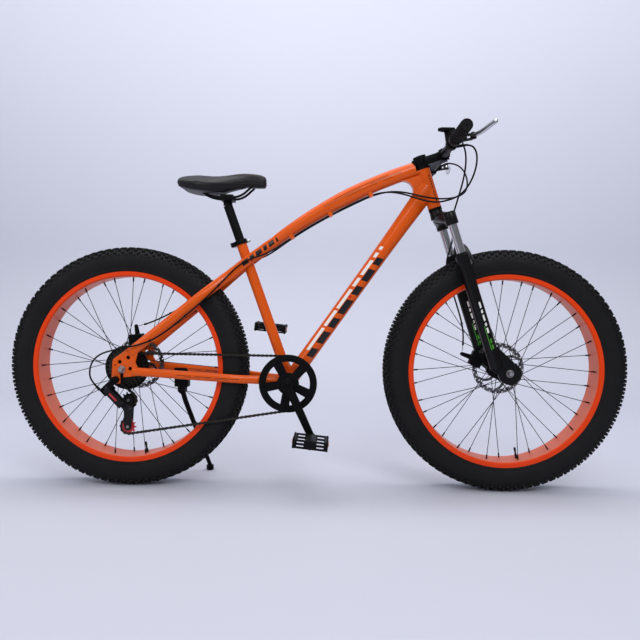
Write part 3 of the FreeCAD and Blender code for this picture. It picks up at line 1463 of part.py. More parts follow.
for side in (-1, 1):
    low = vec(leg_ahead, side * leg_half_spacing, stanchion_low)
    high = vec(leg_ahead, side * leg_half_spacing, socket_top - socket_cap)
    crown = crown.cut(cylinder(stanchion_radius, low, high))
    stanchions.append(placed(tube(stanchion_radius, stanchion_radius - stanchion_wall, low, high),
                             steer_place))
    floor = vec(leg_ahead, side * leg_half_spacing, bore_floor + part_gap)
    springs.append(placed(tube(spring_outer, spring_inner, floor, high - vec(0, 0, part_gap)), steer_place))
keep("fork_crown", placed(crown, steer_place))
keep("stanchions", *stanchions)
keep("fork_springs", *springs)

boss_inner = front_dropout_gap / 2
lower_parts = []
lower_cuts = []
for side in (-1, 1):
    y = side * leg_half_spacing
    lower_parts.append(cylinder(lower_radius, vec(leg_ahead, y, lower_foot), vec(leg_ahead, y, lower_top)))
    lower_parts.append(cylinder(wiper_radius, vec(leg_ahead, y, lower_top - wiper_height),
                                vec(leg_ahead, y, lower_top)))
    near = min(side * boss_inner, side * boss_outer)
    far = max(side * boss_inner, side * boss_outer)
    lower_parts.append(crosswise(fork_rake, 0, near, far, boss_radius))
    web = ((leg_ahead - web_share * lower_radius, web_top), (leg_ahead + web_share * lower_radius, web_top),
           (fork_rake + boss_radius * web_share, boss_radius / 3), (fork_rake, -boss_radius),
           (leg_ahead - web_share * lower_radius, lower_foot))
    lower_parts.append(slab(web, near, far))
    lower_cuts.append(cylinder(stanchion_radius + slide_gap, vec(leg_ahead, y, bore_floor),
                               vec(leg_ahead, y, lower_top + overrun)))
    lower_cuts.append(crosswise(fork_rake, 0, near - overrun, far + overrun, axle_slot))
    inside = side * (boss_inner - part_gap)
    room_far = side * (boss_inner - 2 * lower_radius)
    lower_cuts.append(crosswise(fork_rake, 0, min(inside, room_far), max(inside, room_far),
                                rotor_radius + overrun))
arch_path = Part.Wire([Part.Arc(vec(arch_ahead, -leg_half_spacing, arch_foot), vec(arch_ahead, 0, arch_top),
                                vec(arch_ahead, leg_half_spacing, arch_foot)).toShape()])
arch_start = vec(arch_ahead, -leg_half_spacing, arch_foot)
arch_along = arch_path.Edges[0].tangentAt(arch_path.Edges[0].FirstParameter)
arch_up = arch_along.cross(vec(1, 0, 0)).normalize()
arch_ring = Part.Ellipse(arch_start + vec(arch_half_deep, 0, 0), arch_start + arch_up * arch_half_tall,
                         arch_start)
lower_parts.append(arch_path.makePipeShell([Part.Wire([arch_ring.toShape()])], True, False))


# Disc brake calipers: a body over the rotor's edge, two pads and the stub that its cable arm turns on.
# Each is made with its radius upright above the axle, then turned about the axle.
caliper_low = 55.0
caliper_bridge = 84.0        # underside of the bridge, past the rotor's edge
caliper_high = 93.0
caliper_half_length = 22.0
pad_half_length = 14.0
pad_low = 63.0
pad_high = 79.0
pad_thick = 3.0
pad_gap = 0.4
caliper_inner_reach = 15.0
stub_radius = 4.0
stub_up = 74.0
arm_plate_thick = 3.0
arm_reach_back = 2.0
arm_reach_up = 44.0
arm_eye = 9.0
arm_tip = 6.0


def turned(shapes, axle_place, angle):
    turn = FreeCAD.Placement(axle_place, FreeCAD.Rotation(left, -(angle - 90)))
    return [placed(shape, turn) for shape in shapes]


def caliper(rotor_face, outer_reach):
    middle = rotor_face + rotor_thick / 2
    body = block(-caliper_half_length, caliper_half_length, middle - caliper_inner_reach,
                 middle + outer_reach,
                 caliper_low, caliper_high)
    slot_half = rotor_thick / 2 + pad_gap + pad_thick
    slot = block(-caliper_half_length - overrun, caliper_half_length + overrun, middle - slot_half,
                 middle + slot_half,
                 caliper_low - overrun, caliper_bridge)
    stub = crosswise(0, stub_up, middle + outer_reach, middle + outer_reach + part_gap + arm_plate_thick,
                     stub_radius)
    solids = [joined([body.cut(slot), stub])]
    for side in (-1, 1):
        near = middle + side * (rotor_thick / 2 + pad_gap)
        far = middle + side * slot_half
        solids.append(block(-pad_half_length, pad_half_length, min(near, far), max(near, far), pad_low,
                            pad_high))
    face = middle + outer_reach + part_gap
    arm = strap(0, stub_up, arm_eye, -arm_reach_back, stub_up + arm_reach_up, arm_tip, face,
                face + arm_plate_thick)
    arm = arm.cut(crosswise(0, stub_up, face - overrun, face + arm_plate_thick + overrun,
                            stub_radius + running_gap))
    return solids, arm


rear_caliper_angle = 96.0    # about the axle, from straight ahead
rear_outer_reach = 13.0
lug_low = 44.0
lug_half = 18.0
front_caliper_angle = 158.0
front_outer_reach = 7.5
rear_caliper, rear_arm = caliper(rear_rotor_face, rear_outer_reach)
lug = block(-lug_half, lug_half, rear_rotor_face + rotor_thick / 2 + slide_gap + caliper_inner_reach / 2,
            dropout_inner,
            lug_low, caliper_low)
rear_caliper[0] = rear_caliper[0].fuse(lug)
keep("rear_caliper", *turned(rear_caliper, rear_axle, rear_caliper_angle))
keep("rear_caliper_arm", *turned([rear_arm], rear_axle, rear_caliper_angle))
front_caliper, front_arm = caliper(front_rotor_face, front_outer_reach)
keep("front_caliper", *turned(front_caliper, front_axle, front_caliper_angle))
keep("front_caliper_arm", *turned([front_arm], front_axle, front_caliper_angle))

# The front caliper bolts to two tabs on the left leg
tab_face = front_rotor_face + rotor_thick / 2 + front_outer_reach + part_gap
for tab_back, tab_up in ((upper_tab_back, upper_tab_up), (lower_tab_back, lower_tab_up)):
    lower_parts.append(block(leg_ahead - tab_back, leg_ahead, tab_face, tab_face + post_tab_thick,
                             tab_up - post_tab_half, tab_up + post_tab_half))
lowers = joined(lower_parts)
for cut in lower_cuts:
    lowers = lowers.cut(cut)
keep("fork_lowers", placed(largest(lowers), steer_place))

# Stem: clamp on the steerer, extension, bar clamp with a separate face plate and four screws
stem_clamp_radius = 19.5
stem_low = head_high + cup_flange + part_gap
stem_half_height = 12.0
stem_half_width = 15.0
bar_clamp_radius = 12.7
bar_grip_radius = 11.1
bar_clamp_outer = 18.5
bar_clamp_half_width = 23.0
face_split = 1.0             # half the gap between stem and face plate
stem_screw_radius = 2.5
stem_screw_side = 15.0
stem_screw_up = 15.5
stem_screw_length = 22.0
top_cap_height = 4.0
pinch_reach = 25.0
pinch_half_width = 9.0
stem_body = cylinder(stem_clamp_radius, vec(0, 0, stem_low), vec(0, 0, steerer_top))
extension = block(0, stem_reach, -stem_half_width, stem_half_width, stem_level - stem_half_height,
                  stem_level + stem_half_height)
pinch = block(-pinch_reach, 0, -pinch_half_width, pinch_half_width, stem_low + overrun,
              steerer_top - overrun)
bar_clamp = crosswise(stem_reach, stem_level, -bar_clamp_half_width, bar_clamp_half_width, bar_clamp_outer)
bar_hole = crosswise(stem_reach, stem_level, -bar_half_length, bar_half_length, bar_clamp_radius)
front_half = block(stem_reach - face_split, stem_reach + 2 * bar_clamp_outer, -bar_half_length,
                   bar_half_length,
                   stem_level - 2 * bar_clamp_outer, stem_level + 2 * bar_clamp_outer)
stem = joined([stem_body, extension, pinch, bar_clamp]).cut(bar_hole).cut(front_half)
stem = stem.cut(cylinder(steerer_radius, vec(0, 0, stem_low - overrun), vec(0, 0, steerer_top + overrun)))
face_half = block(stem_reach + face_split, stem_reach + 2 * bar_clamp_outer, -bar_half_length,
                  bar_half_length,
                  stem_level - 2 * bar_clamp_outer, stem_level + 2 * bar_clamp_outer)
face_plate = bar_clamp.common(face_half).cut(bar_hole)
screws = []
for side in (-1, 1):
    for lift in (-1, 1):
        seat_y = side * stem_screw_side
        seat_z = stem_level + lift * stem_screw_up
        screw = cylinder(stem_screw_radius, vec(stem_reach - stem_screw_length / 2, seat_y, seat_z),
                         vec(stem_reach + stem_screw_length / 2, seat_y, seat_z))
        stem = stem.cut(screw)
        face_plate = face_plate.cut(screw)
        screws.append(screw)
top_cap = cylinder(stem_clamp_radius, vec(0, 0, steerer_top), vec(0, 0, steerer_top + top_cap_height))
keep("stem", *[placed(shape, steer_place) for shape in [stem, face_plate, top_cap] + screws])

# Handlebar: thick in the middle, tapering to the grips
bar_thick_half = 70.0
grip_length = 126.0
perch_to_grip = 15.0         # from the perch's middle
perch_side = bar_half_length - grip_length - perch_to_grip
shifter_to_perch = 44.0      # between their middles
shifter_half_width = 12.0
shifter_inner = perch_side - shifter_to_perch - shifter_half_width
bar_taper_share = 0.44       # of the room between the thick middle and the shifter
bar_taper_end = bar_thick_half + bar_taper_share * (shifter_inner - bar_thick_half)
bar_centre = steer_point(stem_level, stem_reach)
bar_bore = bar_grip_radius - tube_wall
handlebar = spun(((bar_bore, -bar_half_length), (bar_grip_radius, -bar_half_length),
                  (bar_grip_radius, -bar_taper_end),
                  (bar_clamp_radius, -bar_thick_half), (bar_clamp_radius, bar_thick_half),
                  (bar_grip_radius, bar_taper_end), (bar_grip_radius, bar_half_length),
                  (bar_bore, bar_half_length)), bar_centre)
keep("handlebar", handlebar)

# Grips, closed at their outer ends
grip_radius = 15.5
grip_flange_radius = 18.0
grip_flange = 4.0
grip_cap = 2.5
grips = []
for side in (-1, 1):
    inner = side * (bar_half_length - grip_length)
    flange = side * (bar_half_length - grip_length + grip_flange)
    end = side * bar_half_length
    cap = side * (bar_half_length + grip_cap)
    grips.append(spun(((bar_grip_radius, inner), (grip_flange_radius, inner), (grip_flange_radius, flange),
                       (grip_radius, flange), (grip_radius, cap), (0, cap), (0, end),
                       (bar_grip_radius, end)),
                      bar_centre))
keep("grips", *grips)

# Brake perches and levers, in a frame tilted about the bar: x forward to the lever pivot
lever_tilt = 10.0
perch_half_width = 10.0
perch_radius = 16.5
perch_half_tall = 8.0
pivot_ahead = 46.0
pivot_outboard = 6.0
pivot_radius = 4.0
pivot_boss = 8.5
cheek = 3.5
blade_half_thick = 4.0
knee_ahead = 62.0
knee_out = 34.0
tip_ahead = 74.0
tip_out = 122.0
knee_radius = 6.5
tip_radius = 5.5
barrel_out = 26.0            # cable barrel, inboard of the perch
perch_place = FreeCAD.Placement(bar_centre, FreeCAD.Rotation(left, -lever_tilt))


def flat_strap(a, radius_a, b, radius_b, low, high):
    # The same flat bar, lying in the x, y plane
    bar = strap(a[0], a[1], radius_a, b[0], b[1], radius_b, 0, high - low)
    bar = placed(bar, FreeCAD.Placement(centre_line, FreeCAD.Rotation(vec(1, 0, 0), -90)))
    bar.translate(vec(0, 0, high))
    return bar


def upright(x, y, low, high, radius):
    return cylinder(radius, vec(x, y, low), vec(x, y, high))


perches = []
levers = {}
for side in (-1, 1):
    y = side * perch_side
    low = min(y - perch_half_width, y + perch_half_width)
    high = max(y - perch_half_width, y + perch_half_width)
    pivot_y = y + side * pivot_outboard
    ring = crosswise(0, 0, low, high, perch_radius)
    cheek_from = blade_half_thick + part_gap
    cheeks = []
    for lift in (-1, 1):
        level_a = lift * cheek_from
        level_b = lift * (cheek_from + cheek)
        cheeks.append(block(0, pivot_ahead, low, high, min(level_a, level_b), max(level_a, level_b)))
        cheeks.append(upright(pivot_ahead, pivot_y, min(level_a, level_b), max(level_a, level_b),
                              pivot_boss))
    root = block(0, pivot_ahead - 2 * pivot_boss, low, high, -perch_half_tall, perch_half_tall)
    pin = upright(pivot_ahead, pivot_y, -cheek_from - cheek, cheek_from + cheek, pivot_radius)
    barrel_y = y - side * barrel_out
    barrel = crosswise(pivot_ahead - 2 * pivot_boss - barrel_radius, 0, min(y, barrel_y), max(y, barrel_y),
                       barrel_radius)
    bar_room = crosswise(0, 0, low - barrel_out, high + barrel_out, bar_grip_radius)
    perch = joined([ring, root, pin, barrel] + cheeks).cut(bar_room)
    perches.append(placed(perch, perch_place))
    knee = (knee_ahead, pivot_y + side * knee_out)
    tip = (tip_ahead, pivot_y + side * tip_out)
    blade = [flat_strap((pivot_ahead, pivot_y), pivot_boss - part_gap, knee, knee_radius, -blade_half_thick,
                        blade_half_thick),
             flat_strap(knee, knee_radius, tip, tip_radius, -blade_half_thick, blade_half_thick),
             Part.makeSphere(tip_radius + part_gap, vec(tip[0], tip[1], 0))]
    lever = joined(blade).cut(upright(pivot_ahead, pivot_y, -perch_radius, perch_radius,
                                      pivot_radius + running_gap))
    levers[side] = placed(lever, perch_place)
keep("brake_perches", *perches)
keep("brake_lever_right", levers[-1])
keep("brake_lever_left", levers[1])

# Thumb shifter on the right: a clamp with a drum on top, and the paddle that turns on it
shifter_side = -perch_side + shifter_to_perch
shifter_radius = 17.0
drum_radius = 17.0
drum_top = 33.0
paddle_thick = 7.0
paddle_eye = 14.0
paddle_end = 8.5
paddle_back = 30.0
paddle_out = 27.0
shifter_pin_radius = 4.0
shifter_cable_radius = 4.0
shifter_cable_out = 30.0
shifter_cable_drop = 10.0    # below the bar's middle
shifter_low = shifter_side - shifter_half_width
shifter_high = shifter_side + shifter_half_width
shifter_ring = crosswise(0, 0, shifter_low, shifter_high, shifter_radius)
drum = upright(0, shifter_side, 0, drum_top, drum_radius)
shifter_pin = upright(0, shifter_side, drum_top, drum_top + paddle_thick + part_gap, shifter_pin_radius)
cable_stub = cylinder(shifter_cable_radius, vec(0, shifter_side, -shifter_cable_drop),
                      vec(shifter_cable_out, shifter_side, -shifter_cable_drop))
shifter_body = joined([shifter_ring, drum, shifter_pin, cable_stub]).cut(
    crosswise(0, 0, shifter_side - 2 * drum_radius, shifter_side + 2 * drum_radius, bar_grip_radius))
keep("shifter_body", placed(shifter_body, perch_place))
paddle = flat_strap((0, shifter_side), paddle_eye, (-paddle_back, shifter_side - paddle_out), paddle_end,
                    drum_top + part_gap, drum_top + part_gap + paddle_thick)
paddle = paddle.cut(upright(0, shifter_side, drum_top, drum_top + 2 * paddle_thick,
                            shifter_pin_radius + running_gap))
keep("shifter_paddle", placed(paddle, perch_place))

# Kickstand: a bracket under the left chain stay, a leg that folds back on a cross pin, and its flat foot
stand_along_share = 0.77     # of the chain stay, from the crank axis
stand_pivot_drop = 74.0      # below the stay
stand_side = 83.0
stand_eye_half = 9.0
stand_eye_radius = 11.0
stand_pin_radius = 4.0
stand_cheek = 5.0
stand_half_length = 22.0
stand_cheek_half = 12.0
stand_bridge = 13.5          # underside of the bridge, above the pivot
leg_radius = 8.0
leg_end_radius = 6.5
knee_forward = 10.0
knee_drop = 34.0
foot_forward = 76.0
foot_side = 150.0
foot_radius = 12.0
foot_height = 14.0
stay_there = bracket + (chain_stay_end - bracket) * stand_along_share
pivot_x = stay_there.x
pivot_z = stay_there.z - stand_pivot_drop
stand_parts = []
for side in (-1, 1):
    near = stand_side + side * (stand_eye_half + part_gap)
    far = near + side * stand_cheek
    stand_parts.append(block(pivot_x - stand_cheek_half, pivot_x + stand_cheek_half, min(near, far),
                             max(near, far),
                             pivot_z - stand_cheek / 2, stay_there.z))
stand_width = stand_eye_half + part_gap + stand_cheek
stand_parts.append(block(pivot_x - stand_half_length, pivot_x + stand_half_length, stand_side - stand_width,
                         stand_side + stand_width, pivot_z + stand_bridge, stay_there.z))
stand_parts.append(crosswise(pivot_x, pivot_z, stand_side - stand_width, stand_side + stand_width,
                             stand_pin_radius))
stand_bracket = joined(stand_parts).cut(chain_stay(1))
keep("kickstand_bracket", largest(stand_bracket))
eye = crosswise(pivot_x, pivot_z, stand_side - stand_eye_half, stand_side + stand_eye_half, stand_eye_radius)
knee_place = vec(pivot_x + knee_forward, stand_side, pivot_z - knee_drop)
foot_place = vec(pivot_x + foot_forward, foot_side, 0)
leg_end = foot_place + vec(0, 0, foot_height)
shin = cone(leg_radius, leg_end_radius, knee_place, leg_end)
thigh = cylinder(leg_radius, vec(pivot_x, stand_side, pivot_z), knee_place)
stand_leg = joined([eye, thigh, shin, Part.makeSphere(leg_radius, knee_place)])
foot = cylinder(foot_radius, foot_place, leg_end)
stand_leg = stand_leg.cut(crosswise(pivot_x, pivot_z, 0, 2 * stand_side,
                                    stand_pin_radius + running_gap)).cut(foot)
keep("kickstand_leg", largest(stand_leg), foot)
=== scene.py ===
import json
import math

import bmesh
import bpy
from mathutils import Matrix, Vector
from mathutils.bvhtree import BVHTree


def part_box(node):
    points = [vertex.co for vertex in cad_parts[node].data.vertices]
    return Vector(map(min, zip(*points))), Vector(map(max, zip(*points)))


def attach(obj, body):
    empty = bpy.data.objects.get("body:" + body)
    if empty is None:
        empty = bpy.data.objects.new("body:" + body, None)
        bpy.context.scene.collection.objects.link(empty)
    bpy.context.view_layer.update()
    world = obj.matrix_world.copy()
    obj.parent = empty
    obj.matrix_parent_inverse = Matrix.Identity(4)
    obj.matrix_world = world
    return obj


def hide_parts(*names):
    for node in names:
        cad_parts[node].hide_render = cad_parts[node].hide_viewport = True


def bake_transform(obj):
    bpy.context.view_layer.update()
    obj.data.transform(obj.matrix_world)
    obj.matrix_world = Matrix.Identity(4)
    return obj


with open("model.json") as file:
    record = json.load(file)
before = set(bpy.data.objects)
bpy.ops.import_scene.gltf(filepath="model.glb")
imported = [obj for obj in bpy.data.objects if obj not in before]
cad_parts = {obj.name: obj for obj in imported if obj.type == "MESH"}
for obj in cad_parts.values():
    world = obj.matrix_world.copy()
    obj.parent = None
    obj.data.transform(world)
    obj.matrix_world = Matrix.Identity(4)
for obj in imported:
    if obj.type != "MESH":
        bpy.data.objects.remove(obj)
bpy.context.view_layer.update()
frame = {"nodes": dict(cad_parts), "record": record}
nodes = frame["nodes"]
behaviour = frame["record"]["behaviour"]
bodyOf = {node: body for body, held in behaviour["bodies"].items() for node in held}
jointPlace = {joint["name"]: Vector(joint.get("pos_m", (0, 0, 0))) for joint in behaviour["joints"]}
mm = 0.001
print("frame loaded:", len(nodes), "nodes")

# main points of the bicycle, read from its joints
rearAxle = jointPlace["rear_wheel_spin"]
frontAxle = jointPlace["front_wheel_spin"]
crankAxis = jointPlace["crank_spin"]
steerFoot = jointPlace["steering"]
steering = next(joint for joint in behaviour["joints"] if joint["name"] == "steering")
steerUp = Vector(steering["axis"]).normalized()
steerAhead = Vector((steerUp.z, 0, -steerUp.x))
left = Vector((0, 1, 0))


def steerPoint(up, ahead=0, y=0):
    # a point of the fork's slanted frame, from millimetres
    return steerFoot + (steerUp * up + steerAhead * ahead + left * y) * mm


# camera at the photo's angle
shot = {"place": (0.0608, -1.8408, 0.5898), "yaw": -1.53, "pitch": -2.53, "roll": 0.53,
        "focal": 606.1, "pixels": 640, "sensor": 36.0}
yaw, pitch, roll = (math.radians(shot[key]) for key in ("yaw", "pitch", "roll"))
ahead = Vector((math.sin(yaw) * math.cos(pitch), math.cos(yaw) * math.cos(pitch), math.sin(pitch)))
level = Vector((math.cos(yaw), -math.sin(yaw), 0))
plumb = level.cross(ahead)
across = level * math.cos(roll) + plumb * math.sin(roll)
upward = plumb * math.cos(roll) - level * math.sin(roll)
camera = bpy.data.objects.new("camera", bpy.data.cameras.new("camera"))
camera.data.sensor_width = shot["sensor"]
camera.data.lens = shot["focal"] * shot["sensor"] / shot["pixels"]
rows = [(across[i], upward[i], -ahead[i], shot["place"][i]) for i in range(3)]
camera.matrix_world = Matrix(rows + [(0, 0, 0, 1)])
bpy.context.collection.objects.link(camera)
bpy.context.scene.camera = camera


# mesh helpers
cleanForm = {"weld": 2e-6, "flat": 0.4, "smooth": 35}


def dressed(data, *materials):
    data.materials.clear()
    for material in materials:
        data.materials.append(material)


def addObject(name, data, *materials):
    obj = bpy.data.objects.new(name, data)
    bpy.context.collection.objects.link(obj)
    if materials:
        dressed(data, *materials)
    return obj


def smoothed(mesh, angle=cleanForm["smooth"]):
    mesh.polygons.foreach_set("use_smooth", [True] * len(mesh.polygons))
    mesh.set_sharp_from_angle(angle=math.radians(angle))
    return mesh


def reworked(mesh, weld=0, flat=0, outward=False):
    # close points merged, faces in one plane joined, normals turned outwards
    work = bmesh.new()
    work.from_mesh(mesh)
    if weld:
        bmesh.ops.remove_doubles(work, verts=work.verts, dist=weld)
    if flat:
        bmesh.ops.dissolve_limit(work, angle_limit=math.radians(flat), verts=work.verts, edges=work.edges)
    if outward:
        bmesh.ops.recalc_face_normals(work, faces=work.faces)
    work.to_mesh(mesh)
    work.free()
    return mesh


def rawMesh(name, vertices, edges=(), faces=()):
    mesh = bpy.data.meshes.new(name)
    mesh.from_pydata(vertices, edges, faces)
    return mesh


def meshFrom(name, vertices, faces, weld=0):
    return reworked(rawMesh(name, vertices, faces=faces), weld, outward=True)


def turnsOf(steps):
    return [2 * math.pi * step / steps for step in range(steps)]


def loopPairs(count):
    # each number of a loop with the next one
    return [(i, (i + 1) % count) for i in range(count)]


def between(first, second):
    # quads between two loops of vertex numbers
    return [(first[i], first[j], second[j], second[i]) for i, j in loopPairs(len(first))]


def wallFaces(rows, count, closed=False):
    # quads between stacked rings of as many vertices
    rings = [range(row * count, (row + 1) * count) for row in range(rows)]
    starts = range(rows if closed else rows - 1)
    return [face for row in starts for face in between(rings[row], rings[(row + 1) % rows])]


def stackMesh(name, rings):
    # a closed form through stacked rings of points
    count, size = len(rings[0]), len(rings[0]) * len(rings)
    caps = [tuple(range(count)), tuple(range(size - count, size))]
    return meshFrom(name, [point for ring in rings for point in ring], wallFaces(len(rings), count) + caps)


def ringMesh(name, profile, steps):
    # a closed profile of (radius, y) turned about the Y axis
    vertices = [(radius * math.cos(turn), y, radius * math.sin(turn)) for turn in turnsOf(steps)
                for radius, y in profile]
    return meshFrom(name, vertices, wallFaces(steps, len(profile), True))


def rodMesh(name, start, end, profile, steps=24):
    # a closed turned shape on the line from start to end: profile of (share along, radius)
    line = end - start
    side = line.normalized().orthogonal().normalized()
    other = line.normalized().cross(side)
    vertices = [start + line * profile[0][0], start + line * profile[-1][0]]
    ends = len(vertices)
    for share, radius in profile:
        vertices += [start + line * share + (side * math.cos(turn) + other * math.sin(turn)) * radius
                     for turn in turnsOf(steps)]
    faces = [tuple(ends + i for i in face) for face in wallFaces(len(profile), steps)]
    last = len(vertices) - steps
    for step, after in loopPairs(steps):
        faces += [(0, ends + step, ends + after), (1, last + after, last + step)]
    return meshFrom(name, vertices, faces)


def placed(mesh, place, axis=left):
    # a mesh made round the Y axis, set on its place and axis
    spin = left.rotation_difference(axis).to_matrix().to_4x4()
    mesh.transform(Matrix.Translation(place) @ spin)
    return mesh


def merged(name, meshes, materials=None):
    # several meshes in one, each with its own place in the material list
    work = bmesh.new()
    for index, mesh in enumerate(meshes):
        held = len(work.faces)
        work.from_mesh(mesh)
        work.faces.ensure_lookup_table()
        for face in work.faces[held:]:
            face.material_index = materials[index] if materials else 0
    whole = bpy.data.meshes.new(name)
    work.to_mesh(whole)
    work.free()
    return whole


def addModifier(obj, kind, **settings):
    modifier = obj.modifiers.new(kind.lower(), kind)
    for label, value in settings.items():
        setattr(modifier, label, value)


def evaluated(obj):
    # the finished mesh of an object with its modifiers, as plain data
    graph = bpy.context.evaluated_depsgraph_get()
    mesh = bpy.data.meshes.new_from_object(obj.evaluated_get(graph))
    obj.modifiers.clear()
    return mesh


def cadCopy(node):
    # a node's mesh with its loose triangles merged and flat faces joined up
    mesh = reworked(nodes[node].data.copy(), cleanForm["weld"], cleanForm["flat"])
    mesh.materials.clear()
    return mesh


def settled(obj, *replaced):
    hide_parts(*replaced)
    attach(obj, bodyOf[replaced[0]])
    return obj


def trimOn(obj, body):
    # a small piece that stands for no node
    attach(obj, body)


# node helpers
def feed(tree, socket, value):
    if hasattr(value, "is_linked"):
        tree.links.new(value, socket)
    else:
        socket.default_value = value


def addNode(tree, kind, settings=None, **inputs):
    node = tree.nodes.new(kind)
    for label, value in (settings or {}).items():
        setattr(node, label, value)
    for label, value in inputs.items():
        feed(tree, node.inputs[label], value)
    return node


def operated(tree, kind, operation, values):
    node = addNode(tree, kind, {"operation": operation})
    for socket, value in zip(node.inputs, values):
        feed(tree, socket, value)
    return node.outputs


def maths(tree, operation, *values):
    return operated(tree, "ShaderNodeMath", operation, values)[0]


def vectorMaths(tree, operation, *values):
    outputs = operated(tree, "ShaderNodeVectorMath", operation, values)
    return outputs["Value" if operation in ("DOT_PRODUCT", "LENGTH") else "Vector"]


def scaled(tree, vector, scale):
    node = addNode(tree, "ShaderNodeVectorMath", {"operation": "SCALE"}, Vector=vector, Scale=scale)
    return node.outputs[0]


def mixed(tree, factor, first, second):
    # a mix node holds its colours in sockets 6 and 7 and gives them out at 2
    node = addNode(tree, "ShaderNodeMix", {"data_type": "RGBA"})
    for index, value in ((0, factor), (6, first), (7, second)):
        feed(tree, node.inputs[index], value)
    return node.outputs[2]


def objectPlace(tree):
    return addNode(tree, "ShaderNodeTexCoord").outputs["Object"]


def noiseAt(tree, scale, detail, stretch=None):
    place = objectPlace(tree)
    if stretch:
        place = addNode(tree, "ShaderNodeMapping", Vector=place, Scale=stretch).outputs[0]
    return addNode(tree, "ShaderNodeTexNoise", Vector=place, Scale=scale, Detail=detail).outputs["Fac"]


def newGroup(name, inputs, outputs):
    tree = bpy.data.node_groups.new(name, "ShaderNodeTree")
    for label, kind, value in inputs:
        socket = tree.interface.new_socket(label, in_out="INPUT", socket_type="NodeSocket" + kind)
        socket.default_value = value
    for label, kind in outputs:
        tree.interface.new_socket(label, in_out="OUTPUT", socket_type="NodeSocket" + kind)
    return tree, addNode(tree, "NodeGroupInput").outputs, addNode(tree, "NodeGroupOutput").inputs


groupForm = {"toneDetail": 5, "grainDetail": 3, "scuffDetail": 8, "scuffStretch": (1, 1, 6),
             "scuffLimit": 0.75, "scuffSpan": 0.4, "scuffSharp": 9.0}

# tone: a colour and a roughness that drift slightly over the surface
toneGroup, given, out = newGroup("tone", (("Color", "Color", (1, 1, 1, 1)), ("Roughness", "Float", 0.4),
                                          ("Amount", "Float", 0.1), ("Scale", "Float", 12.0)),
                                 (("Color", "Color"), ("Roughness", "Float")))
drift = maths(toneGroup, "SUBTRACT", noiseAt(toneGroup, given["Scale"], groupForm["toneDetail"]), 0.5)
factor = maths(toneGroup, "MULTIPLY_ADD", maths(toneGroup, "MULTIPLY", drift, given["Amount"]), 2.0, 1.0)
feed(toneGroup, out["Color"], scaled(toneGroup, given["Color"], factor))
feed(toneGroup, out["Roughness"],
     maths(toneGroup, "MULTIPLY", given["Roughness"], maths(toneGroup, "SUBTRACT", 2.0, factor)))

# grain: a fine bump, put out as a normal
grainGroup, given, out = newGroup("grain", (("Scale", "Float", 400.0), ("Strength", "Float", 0.1),
                                            ("Depth", "Float", 0.0005)), (("Normal", "Vector"),))
height = noiseAt(grainGroup, given["Scale"], groupForm["grainDetail"])
bump = addNode(grainGroup, "ShaderNodeBump", Height=height, Strength=given["Strength"],
               Distance=given["Depth"])
feed(grainGroup, out["Normal"], bump.outputs[0])

# scuff: a mask of fine scratches and handling marks
scuffGroup, given, out = newGroup("scuff", (("Scale", "Float", 60.0), ("Cover", "Float", 0.2)),
                                  (("Mask", "Float"),))
limit = maths(scuffGroup, "SUBTRACT", groupForm["scuffLimit"],
              maths(scuffGroup, "MULTIPLY", given["Cover"], groupForm["scuffSpan"]))
height = noiseAt(scuffGroup, given["Scale"], groupForm["scuffDetail"], groupForm["scuffStretch"])
mask = addNode(scuffGroup, "ShaderNodeMath", {"operation": "MULTIPLY", "use_clamp": True},
               Value=maths(scuffGroup, "SUBTRACT", height, limit))
mask.inputs[1].default_value = groupForm["scuffSharp"]
feed(scuffGroup, out["Mask"], mask.outputs[0])


def addGroup(tree, group, **values):
    return addNode(tree, "ShaderNodeGroup", {"node_tree": group}, **values).outputs


def newMaterial(name, color, roughness, amount, toneScale, grain, scuff=None, constants=None):
    # colour and roughness from the tone group, a grain normal, and scuffs towards a second colour
    material = bpy.data.materials.new(name)
    material.use_nodes = True
    tree = material.node_tree
    shader = tree.nodes["Principled BSDF"]
    base = color(tree) if callable(color) else (*color, 1)
    tone = addGroup(tree, toneGroup, Color=base, Roughness=roughness, Amount=amount, Scale=toneScale)
    colour = tone["Color"]
    if scuff:
        worn, cover, size = scuff
        marks = addGroup(tree, scuffGroup, Scale=size, Cover=cover)["Mask"]
        colour = mixed(tree, marks, colour, (*worn, 1))
    scale, strength, depth = grain
    feed(tree, shader.inputs["Base Color"], colour)
    feed(tree, shader.inputs["Roughness"], tone["Roughness"])
    fine = addGroup(tree, grainGroup, Scale=scale, Strength=strength, Depth=depth)["Normal"]
    feed(tree, shader.inputs["Normal"], fine)
    for label, value in (constants or {}).items():
        shader.inputs[label].default_value = value
    return material


# the rim bed's tone is the rim's orange made paler, a painted sheen rather than a second paint
paintTones = {"frame": (0.66, 0.086, 0.002), "rim": (0.74, 0.046, 0.002), "paintedRimSheen": (0.66, 0.15, 0.085),
              "black": (0.009, 0.009, 0.01), "pale": (0.72, 0.72, 0.7), "red": (0.5, 0.012, 0.012),
              "dark": (0.05, 0.014, 0.006), "fork": (0.004, 0.004, 0.0045), "green": (0.06, 0.3, 0.03)}


def marksMask(tree, position, marks):
    # 1 between each pair of places along a line, 0 elsewhere
    ramp = tree.nodes.new("ShaderNodeValToRGB")
    ramp.color_ramp.interpolation = "CONSTANT"
    stops = [(0.0, 0)] + [stop for begin, finish in marks for stop in ((begin, 1), (finish, 0))]
    for index, (where, value) in enumerate(stops):
        held = ramp.color_ramp.elements
        stop = held[index] if index < 2 else held.new(where)
        stop.position = where
        stop.color = (value, value, value, 1)
    tree.links.new(position, ramp.inputs[0])
    return ramp.outputs[0]


